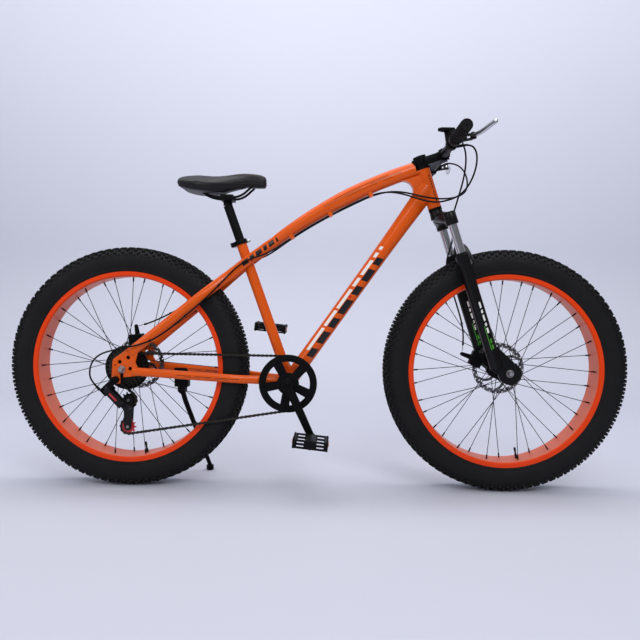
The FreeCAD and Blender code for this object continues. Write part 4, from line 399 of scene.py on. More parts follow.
def bandOver(tree, colour, along, aside, band):
    # one tone's marks along a line, between two heights beside it
    low, high = band["rows"]
    off = maths(tree, "ABSOLUTE", maths(tree, "SUBTRACT", aside, (low + high) / 2))
    inside = maths(tree, "LESS_THAN", off, (high - low) / 2)
    cover = maths(tree, "MULTIPLY", marksMask(tree, along, band["marks"]), inside)
    return mixed(tree, cover, colour, (*paintTones[band["tone"]], 1))


def blocksOver(tone, bands):
    # plain blocks of colour along straight lines, over a base colour
    def source(tree):
        place = objectPlace(tree)
        colour = (*paintTones[tone], 1)
        for band in bands:
            line = Vector(band["finish"]) - Vector(band["begin"])
            offset = vectorMaths(tree, "SUBTRACT", place, tuple(band["begin"]))
            along = vectorMaths(tree, "DOT_PRODUCT", offset, tuple(line / line.length_squared))
            side = vectorMaths(tree, "DOT_PRODUCT", offset, tuple(Vector((-line.z, 0, line.x)).normalized()))
            slanted = maths(tree, "MULTIPLY_ADD", side, band["slant"] / line.length, along)
            colour = bandOver(tree, colour, slanted, side, band)
        return colour
    return source


def linesOver(tone, arc, lines):
    # thin lines that follow an arc, over a base colour
    first, last = (math.radians(turn) for turn in arc["turns"])

    def source(tree):
        offset = vectorMaths(tree, "SUBTRACT", objectPlace(tree), arc["centre"])
        flat = vectorMaths(tree, "MULTIPLY", offset, (1, 0, 1))
        distance = maths(tree, "SUBTRACT", vectorMaths(tree, "LENGTH", flat), arc["radius"])
        parts = addNode(tree, "ShaderNodeSeparateXYZ", Vector=flat).outputs
        angle = maths(tree, "ARCTAN2", parts["Z"], parts["X"])
        share = maths(tree, "DIVIDE", maths(tree, "SUBTRACT", angle, first), last - first)
        colour = (*paintTones[tone], 1)
        for line in lines:
            colour = bandOver(tree, colour, share, distance, line)
        return colour
    return source


bedRadius = 0.2736


def rimTones(tree):
    # the bed that faces the hub is painted paler than the flanks, a painted sheen on the same orange paint;
    # both wheels stand as far from the middle
    parts = addNode(tree, "ShaderNodeSeparateXYZ", Vector=objectPlace(tree)).outputs
    x = maths(tree, "SUBTRACT", maths(tree, "ABSOLUTE", parts["X"]), frontAxle.x)
    z = maths(tree, "SUBTRACT", parts["Z"], frontAxle.z)
    squares = maths(tree, "MULTIPLY_ADD", x, x, maths(tree, "MULTIPLY", z, z))
    bed = maths(tree, "LESS_THAN", maths(tree, "SQRT", squares), bedRadius)
    return mixed(tree, bed, (*paintTones["rim"], 1), (*paintTones["paintedRimSheen"], 1))


# trims: plain marks along the tubes and the fork's legs
downLine = {"begin": crankAxis, "finish": steerPoint(592), "slant": 0.35}
stayLine = {"begin": (-0.1, 0, 0.7647), "finish": (-0.2394, 0, 0.66), "slant": -0.3}
chainStayLine = {"begin": (-0.215, 0, 0.332), "finish": (-0.41, 0, 0.3465), "slant": 0.0}
headLine = {"begin": steerPoint(528), "finish": steerPoint(647), "slant": 0.0}
legLine = {"begin": steerFoot, "finish": steerPoint(300), "slant": 0.3}
trims = {
    "down": [dict(downLine, tone="black", rows=(-0.0165, 0.0035),
                  marks=[(0.13, 0.175), (0.2, 0.26), (0.285, 0.33), (0.355, 0.425), (0.45, 0.495),
                         (0.52, 0.58), (0.605, 0.64)]),
             dict(downLine, tone="pale", rows=(0.0055, 0.0145),
                  marks=[(0.16, 0.27), (0.285, 0.36), (0.375, 0.47), (0.485, 0.53), (0.545, 0.62),
                         (0.635, 0.66), (0.675, 0.69)]),
             dict(downLine, tone="red", rows=(-0.0035, 0.0035), marks=[(0.43, 0.445)])],
    "stay": [dict(stayLine, tone="black", rows=(-0.007, 0.007),
                  marks=[(0.08, 0.16), (0.2, 0.31), (0.35, 0.42), (0.46, 0.58), (0.62, 0.7), (0.74, 0.86)]),
             dict(chainStayLine, tone="dark", rows=(-0.0005, 0.0012),
                  marks=[(0.05, 0.4), (0.46, 0.7), (0.76, 0.98)]),
             dict(chainStayLine, tone="dark", rows=(0.0032, 0.0044), marks=[(0.2, 0.56), (0.62, 0.86)])],
    "head": [dict(headLine, tone="black", rows=(-0.0105, -0.0065),
                  marks=[(0.14 + 0.07 * step, 0.18 + 0.07 * step) for step in range(10)])],
    "leg": [dict(legLine, tone="pale", rows=(-0.027, -0.0215),
                 marks=[(0.42, 0.47), (0.49, 0.52), (0.54, 0.6), (0.62, 0.65), (0.67, 0.73)]),
            dict(legLine, tone="green", rows=(-0.0195, -0.0175), marks=[(0.26, 0.5)]),
            dict(legLine, tone="green", rows=(-0.027, -0.0225), marks=[(0.26, 0.3), (0.32, 0.36)])],
}
topArc = {"centre": (0.718468, 0, -0.370209), "radius": 1.398975, "turns": (126.69007, 106.82225)}
topLines = [{"rows": (0.0032, 0.0048), "tone": "dark", "marks": [(0.34, 0.6), (0.66, 0.86)]},
            {"rows": (0.0079, 0.0091), "tone": "dark", "marks": [(0.42, 0.78)]},
            {"rows": (-0.0021, -0.0009), "tone": "dark", "marks": [(0.5, 0.7), (0.74, 0.8)]}]
paintGrain = (900.0, 0.02, 0.0003)
gloss = {"Coat Weight": 0.36, "Coat Roughness": 0.05, "Specular IOR Level": 0.12}
blackGloss = {"Coat Weight": 0.12, "Coat Roughness": 0.07, "Specular IOR Level": 0.12}
rimGloss = {"Coat Weight": 0.1, "Coat Roughness": 0.2, "Specular IOR Level": 0.15}
dull, rubber, metal = {"Specular IOR Level": 0.06}, {"Specular IOR Level": 0.14}, {"Metallic": 1.0}
paint = (0.36, 0.05, 9.0, paintGrain, None, gloss)
# each look: colour or its source, roughness, drift and its scale, grain, scuffs, constants of the shader
lookForm = {
    "framePaint": (paintTones["frame"], *paint),
    "downPaint": (blocksOver("frame", trims["down"]), *paint),
    "stayPaint": (blocksOver("frame", trims["stay"]), *paint),
    "headPaint": (blocksOver("frame", trims["head"]), *paint),
    "topPaint": (linesOver("frame", topArc, topLines), *paint),
    "rimPaint": (rimTones, 0.4, 0.07, 11.0, (600.0, 0.06, 0.0004), None, rimGloss),
    "forkPaint": (paintTones["fork"], 0.4, 0.2, 9.0, paintGrain, None, blackGloss),
    "legPaint": (blocksOver("fork", trims["leg"]), 0.32, 0.1, 9.0, paintGrain, None, blackGloss),
    "blackMetal": ((0.0042, 0.0042, 0.0046), 0.42, 0.2, 22.0, (700.0, 0.12, 0.0004),
                   ((0.03, 0.03, 0.031), 0.1, 55.0), dull),
    "anodised": ((0.009, 0.009, 0.01), 0.38, 0.15, 30.0, (1500.0, 0.08, 0.0002), None,
                 {"Metallic": 0.3, "Specular IOR Level": 0.2}),
    "chrome": ((0.56, 0.56, 0.57), 0.17, 0.05, 20.0, (300.0, 0.01, 0.0002), None, metal),
    "steel": ((0.42, 0.42, 0.43), 0.34, 0.14, 45.0, (1200.0, 0.1, 0.0003),
              ((0.2, 0.2, 0.2), 0.25, 90.0), metal),
    "rotorSteel": ((0.17, 0.17, 0.175), 0.36, 0.2, 60.0, (1200.0, 0.12, 0.0003),
                   ((0.08, 0.08, 0.08), 0.3, 70.0), metal),
    "darkSteel": ((0.036, 0.032, 0.027), 0.42, 0.3, 70.0, (1200.0, 0.12, 0.0003),
                  ((0.012, 0.01, 0.008), 0.4, 80.0), {"Metallic": 0.85}),
    "silver": ((0.6, 0.61, 0.62), 0.3, 0.08, 35.0, (1600.0, 0.06, 0.0002), None, metal),
    "plastic": ((0.0065, 0.0065, 0.007), 0.5, 0.18, 26.0, (1400.0, 0.2, 0.0004), None, dull),
    "red": ((0.42, 0.012, 0.014), 0.34, 0.12, 24.0, (1200.0, 0.08, 0.0003), None, {"Coat Weight": 0.2}),
    "amber": ((0.55, 0.17, 0.02), 0.2, 0.1, 60.0, (500.0, 0.4, 0.0006), None, {"Coat Weight": 0.6}),
    "tyre": ((0.0075, 0.0075, 0.0082), 0.6, 0.25, 16.0, (900.0, 0.25, 0.0006),
             ((0.016, 0.016, 0.017), 0.14, 40.0), rubber),
    "tread": ((0.0095, 0.0095, 0.01), 0.72, 0.3, 40.0, (1100.0, 0.3, 0.0006),
              ((0.02, 0.02, 0.02), 0.2, 60.0), rubber),
    "grip": ((0.0085, 0.0085, 0.009), 0.66, 0.22, 60.0, (1300.0, 0.35, 0.0006), None, dull),
    "saddle": ((0.0075, 0.0075, 0.0088), 0.42, 0.16, 30.0, (1900.0, 0.35, 0.0005), None,
               {"Specular IOR Level": 0.25}),
    "thread": ((0.02, 0.02, 0.021), 0.7, 0.2, 90.0, (2500.0, 0.3, 0.0002), None, dull),
    "housing": ((0.007, 0.007, 0.0075), 0.36, 0.2, 50.0, (1500.0, 0.1, 0.0003), None, dull),
}
look = {name: newMaterial(name, *form) for name, form in lookForm.items()}
print("materials:", len(look))

# stage: a pale sweep from floor to wall, with soft light
stageForm = {"front": -4.0, "back": 1.5, "bend": 0.9, "top": 4.5, "half": 6.0, "steps": 12, "low": -0.0015,
             "skin": ((0.525, 0.538, 0.625), 0.75, 0.015, 0.8, (3.0, 0.01, 0.001)), "smooth": 60}
back, bend, low = (stageForm[key] for key in ("back", "bend", "low"))
turns = [math.pi / 2 * step / stageForm["steps"] for step in range(stageForm["steps"] + 1)]
profile = [(stageForm["front"], low)]
profile += [(back + bend * math.sin(turn), low + bend * (1 - math.cos(turn))) for turn in turns]
profile.append((back + bend, stageForm["top"]))
vertices = [(side * stageForm["half"], y, z) for y, z in profile for side in (-1, 1)]
faces = [(2 * i, 2 * i + 1, 2 * i + 3, 2 * i + 2) for i in range(len(profile) - 1)]
sweep = smoothed(rawMesh("sweep", vertices, faces=faces), stageForm["smooth"])
addObject("sweep", sweep, newMaterial("sweepTone", *stageForm["skin"]))

# each light: place, aim, size, power
lights = {"key": ((0.9, -2.6, 2.6), (0, 0, 0.5), (1.8, 1.8), 44),
          "top": ((-0.2, -0.3, 3.2), (0, 0, 0.4), (2.6, 2.6), 27),
          "fill": ((-2.4, -2.0, 1.5), (-0.2, 0, 0.5), (1.6, 1.6), 20),
          "wall": ((0.0, 0.5, 3.6), (0, 2.4, 1.3), (9, 1.6), 146),
          "strip": ((0.15, -2.3, 2.0), (0, 0, 0.55), (3.2, 0.22), 14)}
worldTone = {"Color": (0.86, 0.89, 1.0, 1), "Strength": 0.23}
for name, (place, aim, size, power) in lights.items():
    lamp = bpy.data.lights.new(name, "AREA")
    lamp.shape = "RECTANGLE"
    lamp.size, lamp.size_y = size
    lamp.energy = power
    holder = addObject(name, lamp)
    holder.location = place
    holder.rotation_euler = (Vector(aim) - Vector(place)).to_track_quat("-Z", "Y").to_euler()
world = bpy.data.worlds.new("world")
world.use_nodes = True
for label, value in worldTone.items():
    world.node_tree.nodes["Background"].inputs[label].default_value = value
bpy.context.scene.world = world
bpy.context.scene.view_settings.view_transform = "Standard"
print("stage and lights ready")

# finishes of the nodes
finishes = {
    "framePaint": ("seat_tube", "bottom_bracket_shell", "dropouts"),
    "headPaint": ("head_tube",),
    "topPaint": ("top_tube",),
    "stayPaint": ("rear_stays",),
    "downPaint": ("down_tube",),
    "rimPaint": ("front_rim", "rear_rim"),
    "forkPaint": ("fork_crown",),
    "legPaint": ("fork_lowers",),
    "chrome": ("stanchions",),
    "blackMetal": ("front_spokes", "rear_spokes", "front_hub", "rear_hub", "seatpost", "saddle_rails",
                   "crank_arms", "chainring", "kickstand_bracket", "kickstand_leg", "seat_clamp",
                   "frame_bearings", "front_caliper", "rear_caliper", "derailleur_bracket", "handlebar",
                   "stem", "front_caliper_arm", "rear_caliper_arm"),
    "steel": ("front_axle", "rear_axle", "fork_springs", "crank_axles"),
    "rotorSteel": ("front_rotor", "rear_rotor"),
    "darkSteel": ("chain", "freewheel"),
    "silver": ("brake_lever_right", "brake_lever_left", "seat_clamp_lever"),
    "plastic": ("brake_perches", "shifter_body", "shifter_paddle", "spoke_guard", "pedal_right",
                "pedal_left"),
    "anodised": ("derailleur_cage", "derailleur_inner_link", "derailleur_outer_link", "guide_pulley"),
    "red": ("tension_pulley",),
    "tyre": ("front_tyre", "rear_tyre"),
    "grip": ("grips",),
    "saddle": ("saddle",),
    "housing": ("shift_cable", "rear_brake_cable", "front_brake_cable"),
}
finishOf = {node: finish for finish, held in finishes.items() for node in held}
for node, finish in finishOf.items():
    dressed(nodes[node].data, look[finish])
print("nodes without a finish:", sorted(set(nodes) - set(finishOf)))


# geometry trees: each is run on a holder and turned into a plain mesh
def newTree(name, **inputs):
    tree = bpy.data.node_groups.new(name, "GeometryNodeTree")
    for label, kind in dict(inputs, Piece="Object", Skin="Material").items():
        tree.interface.new_socket(label, in_out="INPUT", socket_type="NodeSocket" + kind)
    tree.interface.new_socket("Geometry", in_out="OUTPUT", socket_type="NodeSocketGeometry")
    return tree, addNode(tree, "NodeGroupInput").outputs


def rotationFrom(tree, angles):
    node = addNode(tree, "FunctionNodeEulerToRotation")
    feed(tree, node.inputs[0], angles)
    return node.outputs[0]


def setOut(tree, given, points, rotation, size):
    # copies of the piece on the points, made real and given their material
    info = addNode(tree, "GeometryNodeObjectInfo", Object=given["Piece"])
    instance = addNode(tree, "GeometryNodeInstanceOnPoints", Points=points, Instance=info.outputs["Geometry"],
                       Rotation=rotation, Scale=size)
    real = addNode(tree, "GeometryNodeRealizeInstances", Geometry=instance.outputs[0])
    skin = addNode(tree, "GeometryNodeSetMaterial", Geometry=real.outputs[0], Material=given["Skin"])
    addNode(tree, "NodeGroupOutput", Geometry=skin.outputs[0])
    return tree


def runTree(tree, mesh=None, **values):
    holder = addObject("treeHolder", mesh or bpy.data.meshes.new("treeHolder"))
    modifier = holder.modifiers.new(tree.name, "NODES")
    modifier.node_group = tree
    for item in tree.interface.items_tree:
        if item.in_out == "INPUT" and item.name in values:
            modifier[item.identifier] = values[item.name]
    result = evaluated(holder)
    bpy.data.objects.remove(holder)
    return result


def ringTree():
    # pieces set round the Y axis, their own Z outwards
    tree, given = newTree("pieceRing", Rows="Int", Radius="Float", Side="Float", Phase="Float", Lean="Float",
                          Size="Vector")
    step = maths(tree, "DIVIDE", 2 * math.pi, given["Rows"])
    index = addNode(tree, "GeometryNodeInputIndex").outputs[0]
    turn = maths(tree, "MULTIPLY_ADD", index, step, maths(tree, "MULTIPLY", given["Phase"], step))
    x, z = (maths(tree, "MULTIPLY", given["Radius"], maths(tree, wave, turn)) for wave in ("COSINE", "SINE"))
    place = addNode(tree, "ShaderNodeCombineXYZ", X=x, Y=given["Side"], Z=z)
    points = addNode(tree, "GeometryNodePoints", Count=given["Rows"], Position=place.outputs[0])
    outwards = maths(tree, "SUBTRACT", math.pi / 2, turn)
    angles = addNode(tree, "ShaderNodeCombineXYZ", X=given["Lean"], Y=outwards)
    return setOut(tree, given, points.outputs[0], rotationFrom(tree, angles.outputs[0]), given["Size"])


def rowTree():
    # pieces in a straight row
    tree, given = newTree("pieceRow", Count="Int", Start="Vector", Step="Vector", Turn="Vector",
                          Size="Vector")
    along = scaled(tree, given["Step"], addNode(tree, "GeometryNodeInputIndex").outputs[0])
    place = vectorMaths(tree, "ADD", given["Start"], along)
    points = addNode(tree, "GeometryNodePoints", Count=given["Count"], Position=place)
    return setOut(tree, given, points.outputs[0], rotationFrom(tree, given["Turn"]), given["Size"])


def beadTree():
    # pieces strung along the edges of a mesh, their own Z along the line
    tree, given = newTree("beadLine", Geometry="Geometry", Spacing="Float", Size="Vector")
    curve = addNode(tree, "GeometryNodeMeshToCurve", Mesh=given["Geometry"])
    points = addNode(tree, "GeometryNodeCurveToPoints", {"mode": "LENGTH"}, Curve=curve.outputs[0],
                     Length=given["Spacing"])
    return setOut(tree, given, points.outputs["Points"], points.outputs["Rotation"], given["Size"])


def setTree():
    # pieces on the vertices of a mesh that carry a turn and a size
    tree, given = newTree("pieceSet", Geometry="Geometry")
    fields = []
    for label, kind in (("turn", "FLOAT_VECTOR"), ("size", "FLOAT")):
        field = addNode(tree, "GeometryNodeInputNamedAttribute", {"data_type": kind}, Name=label)
        fields.append(field.outputs["Attribute"])
    return setOut(tree, given, given["Geometry"], rotationFrom(tree, fields[0]), fields[1])


pieceRing, pieceRow, beadLine, pieceSet = ringTree(), rowTree(), beadTree(), setTree()

# templates of unit size; the bolt's levels are radius, height and whether they are six-sided
templateForm = {"corners": ((-1, -1), (1, -1), (1, 1), (-1, 1)), "edge": 0.04, "edgeHeight": 0.78,
                "bolt": ((1.0, -0.3, 0), (1.0, 0.3, 0), (0.84, 0.55, 0), (0.56, 0.62, 1), (0.54, 0.2, 1)),
                "boltSteps": 12, "bead": (8, 5)}


def padTemplate(name, taper, sink):
    # a chamfered block on its base
    top = taper / 2
    levels = ((0.5, -sink), (0.5, 0.0), (top + templateForm["edge"], templateForm["edgeHeight"]), (top, 1.0))
    rings = [[(half * x, half * y, z) for x, y in templateForm["corners"]] for half, z in levels]
    return addObject(name, stackMesh(name, rings))


def boltTemplate():
    # a button head with a six-sided socket
    rings = []
    for radius, z, sided in templateForm["bolt"]:
        reaches = (radius, radius * (math.cos(math.pi / 6) if sided else 1))
        rings.append([(reaches[step % 2] * math.cos(turn), reaches[step % 2] * math.sin(turn), z)
                      for step, turn in enumerate(turnsOf(templateForm["boltSteps"]))])
    return addObject("boltHead", stackMesh("boltHead", rings))


def beadTemplate():
    across, along = templateForm["bead"]
    ball = bmesh.new()
    bmesh.ops.create_uvsphere(ball, u_segments=across, v_segments=along, radius=1.0)
    mesh = bpy.data.meshes.new("bead")
    ball.to_mesh(mesh)
    ball.free()
    return addObject("bead", mesh)


knob, gripPad = padTemplate("knob", 0.74, 0.35), padTemplate("gripPad", 0.7, 0.4)
boltHead, bead = boltTemplate(), beadTemplate()


def piecesAt(piece, places, skin):
    # places: (point in metres, turn as an Euler, size)
    mesh = rawMesh("places", [Vector(place) for place, turn, size in places])
    mesh.attributes.new("turn", "FLOAT_VECTOR", "POINT")
    mesh.attributes.new("size", "FLOAT", "POINT")
    # fetched once both are there
    turns, sizes = (mesh.attributes[label].data for label in ("turn", "size"))
    for index, (place, turn, size) in enumerate(places):
        turns[index].vector = turn
        sizes[index].value = size
    return runTree(pieceSet, mesh, Piece=piece, Skin=skin)


def boltsAt(places, skin):
    # places: (point in metres, axis, radius in metres)
    turned = [(place, Vector(axis).to_track_quat("Z", "Y").to_euler(), size) for place, axis, size in places]
    return piecesAt(boltHead, turned, skin)


# cables: the housing on its route, with a ferrule at each end
routes = {
    "shift": [(405.7, -150, 998.7), (423, -149, 1000.5), (438, -144, 991.5), (446, -136, 973),
        (447, -124, 947), (441, -108, 918), (428, -92, 891), (406, -77, 870), (376, -64, 860),
        (344, -53, 857), (308, -46, 865), (272, -37, 879), (238, -26, 889), (205, -16, 893),
        (165, -10, 885.5), (122, -10, 865.5), (79, -10, 844.5), (37, -10, 822.8), (-5, -10, 799.4),
        (-46, -10, 774.6), (-86, -10, 748.2), (-118, -17, 726), (-150, -30, 706), (-185, -40, 694),
        (-218, -43, 680), (-250, -49, 652), (-284, -64, 612), (-330, -81, 563), (-380, -86, 520),
        (-430, -92, 477), (-480, -100, 445), (-533, -105, 430), (-584, -106, 420), (-624, -106, 408),
        (-648, -105.5, 385), (-656, -105, 353), (-650, -104.5, 329), (-635, -104.5, 313.2)],
    "rearBrake": [(398.6, 166.9, 1007.3), (401, 148, 1008.5), (414, 126, 1009), (436, 98, 998),
        (448, 68, 978), (453, 36, 951), (451, 6, 922), (442, -18, 896), (420, -36, 878), (388, -42, 870),
        (352, -38, 870), (316, -30, 877), (282, -20, 887), (248, -10, 895), (210, 2, 896.5), (165, 10, 885.5),
        (122, 10, 865.5), (79, 10, 844.5), (37, 10, 822.8), (-5, 10, 799.4), (-46, 10, 774.6),
        (-86, 10, 748.2), (-118, 17, 726), (-150, 30, 706), (-190, 41, 690), (-232, 44, 668), (-278, 61, 630),
        (-330, 82, 589), (-380, 88, 566), (-431, 89, 541), (-470, 87, 521), (-508, 85, 502),
        (-542, 84.3, 488), (-571.2, 84.3, 480.6)],
    "frontBrake": [(398.6, -166.9, 1007.3), (401, -148, 1008), (410, -127, 1003), (421, -104, 988),
        (427, -80, 962), (427, -56, 930), (422, -32, 894), (415, -8, 858), (409, 16, 822), (411, 36, 788),
        (418, 48, 757), (409, 54, 726), (400, 56.5, 690), (406, 58.5, 649), (422, 60, 599), (439.5, 61, 547),
        (454, 61.5, 499), (459.3, 61.3, 456), (456.3, 61.3, 414.1)],
}
cableForm = {"bare": {"rearBrake": 17 * mm, "frontBrake": 17 * mm}, "wire": 0.9 * mm, "wireSides": 8,
             "radius": 2.5 * mm, "sides": 3, "spanSteps": 6, "order": 3, "smooth": 40, "ferrule": 3.2 * mm,
             "ferruleLength": 11 * mm, "mouth": 2.4 * mm, "sleeveShares": (0.04, 0.1, 0.85, 1),
             "sleeveSides": 14, "clip": 3.7 * mm, "clipLength": 7 * mm,
             "clipPlaces": {"shift": (26, 28, 30), "rearBrake": (26, 28, 30), "frontBrake": (14, 16)}}
cableBodies = {"shift": ("shift_cable", "frame", "steer", (0.23, 0, 0.9), (0.41, -0.1, 0.93)),
               "rearBrake": ("rear_brake_cable", "frame", "steer", (0.24, 0, 0.9), (0.44, 0, 0.94)),
               "frontBrake": ("front_brake_cable", "steer", "fork_lowers", (0.412, 0.03, 0.8),
                              (0.43, 0.06, 0.57))}


def sleeve(start, end, radius):
    radii = (cableForm["mouth"], radius, radius, cableForm["mouth"])
    profile = list(zip(cableForm["sleeveShares"], radii))
    return rodMesh("sleeve", start, end, profile, cableForm["sleeveSides"])


def tubeAlong(name, points, radius, kind, sides):
    # a round tube on a path, as a plain mesh
    curve = bpy.data.curves.new(name, "CURVE")
    curve.dimensions = "3D"
    curve.bevel_depth = radius
    curve.bevel_resolution = sides
    curve.use_fill_caps = True
    curve.resolution_u = cableForm["spanSteps"]
    spline = curve.splines.new(kind)
    spline.points.add(len(points) - 1)
    for held, point in zip(spline.points, points):
        held.co = (*point, 1)
    if kind == "NURBS":
        spline.order_u = cableForm["order"]
        spline.use_endpoint_u = True
    holder = addObject(name, curve)
    mesh = evaluated(holder)
    bpy.data.objects.remove(holder)
    return mesh


for name, route in routes.items():
    points = [Vector(point) * mm for point in route]
    wireEnd = points[-1]
    bare = cableForm["bare"].get(name, 0)    # bare inner wire between the housing and a brake arm
    points[-1] = wireEnd + (points[-2] - wireEnd).normalized() * bare
    housing = tubeAlong(name, points, cableForm["radius"], "NURBS", cableForm["sides"])
    fittings = []
    for tip, second in ((points[0], points[1]), (points[-1], points[-2])):
        way = (second - tip).normalized()
        fittings.append(sleeve(tip, tip + way * cableForm["ferruleLength"], cableForm["ferrule"]))
    for index in cableForm["clipPlaces"][name]:
        before, here, after = (points[index + step] for step in (-1, 0, 1))
        middle = (before + here * 6 + after) / 8    # where the spline passes its control point
        way = (after - before).normalized() * cableForm["clipLength"] / 2
        fittings.append(sleeve(middle - way, middle + way, cableForm["clip"]))
    if bare:
        wire = [(share, cableForm["wire"]) for share in (0, 1)]
        fittings.append(rodMesh("wire", points[-1], wireEnd, wire, cableForm["wireSides"]))
    cable = merged(name + "Cable", [housing] + fittings, [0] + [1] * len(fittings))
    obj = addObject(name + "Cable", smoothed(cable, cableForm["smooth"]), look["housing"], look["blackMetal"])
    node, first, second, begin, finish = cableBodies[name]
    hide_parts(node)
    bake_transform(obj)
print("cables done")

# tyres: a carcass with a rim guard and tread wells, and rows of knobs
tyreForm = {"steps": 128, "rows": 92, "smooth": 32, "valveTurn": -80.0, "valve": (0.239, 0.273),
            "profile": [(0.2765, 0.0355), (0.284, 0.0372), (0.2885, 0.0402), (0.2915, 0.0438),
                        (0.2945, 0.0447), (0.297, 0.0442), (0.299, 0.0452), (0.308, 0.0473),
                        (0.316, 0.0484), (0.324, 0.0486), (0.332, 0.0478), (0.339, 0.0458),
                        (0.3442, 0.0424), (0.349, 0.0365), (0.3525, 0.029), (0.3552, 0.019),
                        (0.3562, 0.009)],
            "columns": [(0.0075, 0.3558, 0, 0.0, (0.0105, 0.0105, 0.0062)),
                        (0.0215, 0.3543, 9, 0.5, (0.0112, 0.0105, 0.0066)),
                        (0.0335, 0.3502, 30, 0.0, (0.0098, 0.0095, 0.0066)),
                        (0.0418, 0.3440, 54, 0.5, (0.0088, 0.0078, 0.0054)),
                        (0.0462, 0.3375, 68, 0.0, (0.0062, 0.0048, 0.0026))],
            "stem": [(0, 0.0026), (0.02, 0.0034), (0.3, 0.0034), (0.32, 0.0026), (0.6, 0.0026),
                     (0.62, 0.0036), (1, 0.0036)]}
outside = tyreForm["profile"]
closedProfile = outside + [(r, -y) for r, y in reversed(outside)]
knobs = []
for side, radius, lean, phase, size in tyreForm["columns"]:
    for sign in (-1, 1):
        knobs.append(runTree(pieceRing, Piece=knob, Skin=look["tread"], Rows=tyreForm["rows"], Radius=radius,
                             Side=sign * side, Phase=phase + (0.5 if sign > 0 else 0.0),
                             Lean=-sign * math.radians(lean), Size=size))
turn = math.radians(tyreForm["valveTurn"])
foot, tip = (Vector((math.cos(turn), 0, math.sin(turn))) * reach for reach in tyreForm["valve"])
wheels = (("front", frontAxle), ("rear", rearAxle))
for wheel, axle in wheels:
    stem = rodMesh("valve", foot, tip, tyreForm["stem"])
    carcass = ringMesh("carcass", closedProfile, tyreForm["steps"])
    tyre = merged(wheel + "Tyre", [carcass, stem] + knobs, [0, 0] + [1] * len(knobs))
    tyre = placed(smoothed(tyre, tyreForm["smooth"]), axle)
    settled(addObject(wheel + "Tyre", tyre, look["tyre"], look["tread"]), wheel + "_tyre")
print("tyres:", len(knobs), "rings of knobs")

# rotors: a drilled band on swept arms, a boss and its bolts; lengths in mm
rotorForm = {"wedges": 24, "inner": 65.0, "outer": 80.0, "scallop": 1.3, "hole": 2.3, "holeSides": 8,
             "holeFirst": -135.0, "thick": 1.8, "arms": 6, "armFrom": 24.0, "armTo": 67.5, "armHalf": 4.0,
             "armThickShare": 0.98, "armSweep": 34.0, "armSteps": 8, "boss": (17.2, 27.0), "bossSteps": 48,
             "boltCircle": 22.0, "boltSize": 3.3, "weld": 1e-5, "smooth": 30}


def rotorWedge():
    # four cells of the band, two of them with a hole
    inner, outer, dip, hole = (rotorForm[key] for key in ("inner", "outer", "scallop", "hole"))
    half, middle = rotorForm["thick"] / 2, (inner + outer) / 2
    wedge = 2 * math.pi / rotorForm["wedges"]
    spins = [math.radians(rotorForm["holeFirst"]) + turn for turn in turnsOf(rotorForm["holeSides"])]
    vertices, faces = [], []

    def loopAt(places, y):
        # the numbers of new vertices at (radius, angle) places
        for radius, angle in places:
            vertices.append(Vector((radius * math.sin(angle), y, radius * math.cos(angle))) * mm)
        return range(len(vertices) - len(places), len(vertices))

    for column, row in ((0, 0), (0, 1), (1, 0), (1, 1)):
        a0, a1 = wedge / 2 * (column - 1), wedge / 2 * column
        r0, r1 = ((inner, middle), (middle, outer))[row]
        centre, aim = (r0 + r1) / 2, (a0 + a1) / 2
        low, high = r0 + dip * (1 - row), r1 - dip * row
        border = [(low, a0), (r0, aim), (low, a1), (centre, a1),
                  (high, a1), (r1, aim), (high, a0), (centre, a0)]
        rims = [loopAt(border, y) for y in (-half, half)]
        walls = between(*rims)
        faces += [walls[i] for i in ((0, 1), (4, 5))[row]]
        if row == column:
            drill = [(centre + hole * math.sin(spin), aim + hole * math.cos(spin) / centre) for spin in spins]
            rings = [loopAt(drill, y) for y in (-half, half)]
            faces += between(rims[0], rings[0]) + between(rims[1], rings[1]) + between(*rings)
        else:
            faces += [tuple(rim) for rim in rims]
    return addObject("rotorWedge", meshFrom("rotorWedge", vertices, faces, rotorForm["weld"]))


def rotorArm():
    half = rotorForm["thick"] / 2 * rotorForm["armThickShare"]
    steps = rotorForm["armSteps"]
    line = []
    for step in range(steps + 1):
        share = step / steps
        radius = rotorForm["armFrom"] + share * (rotorForm["armTo"] - rotorForm["armFrom"])
        angle = math.radians(rotorForm["armSweep"]) * share * share
        line.append(Vector((radius * math.sin(angle), 0, radius * math.cos(angle))))
    rings = []
    for step, here in enumerate(line):
        way = line[min(step + 1, steps)] - line[max(step - 1, 0)]
        aside = Vector((way.z, 0, -way.x)).normalized() * rotorForm["armHalf"]
        rings.append([(here + aside * x + left * half * y) * mm for x, y in templateForm["corners"]])
    return addObject("rotorArm", stackMesh("rotorArm", rings))


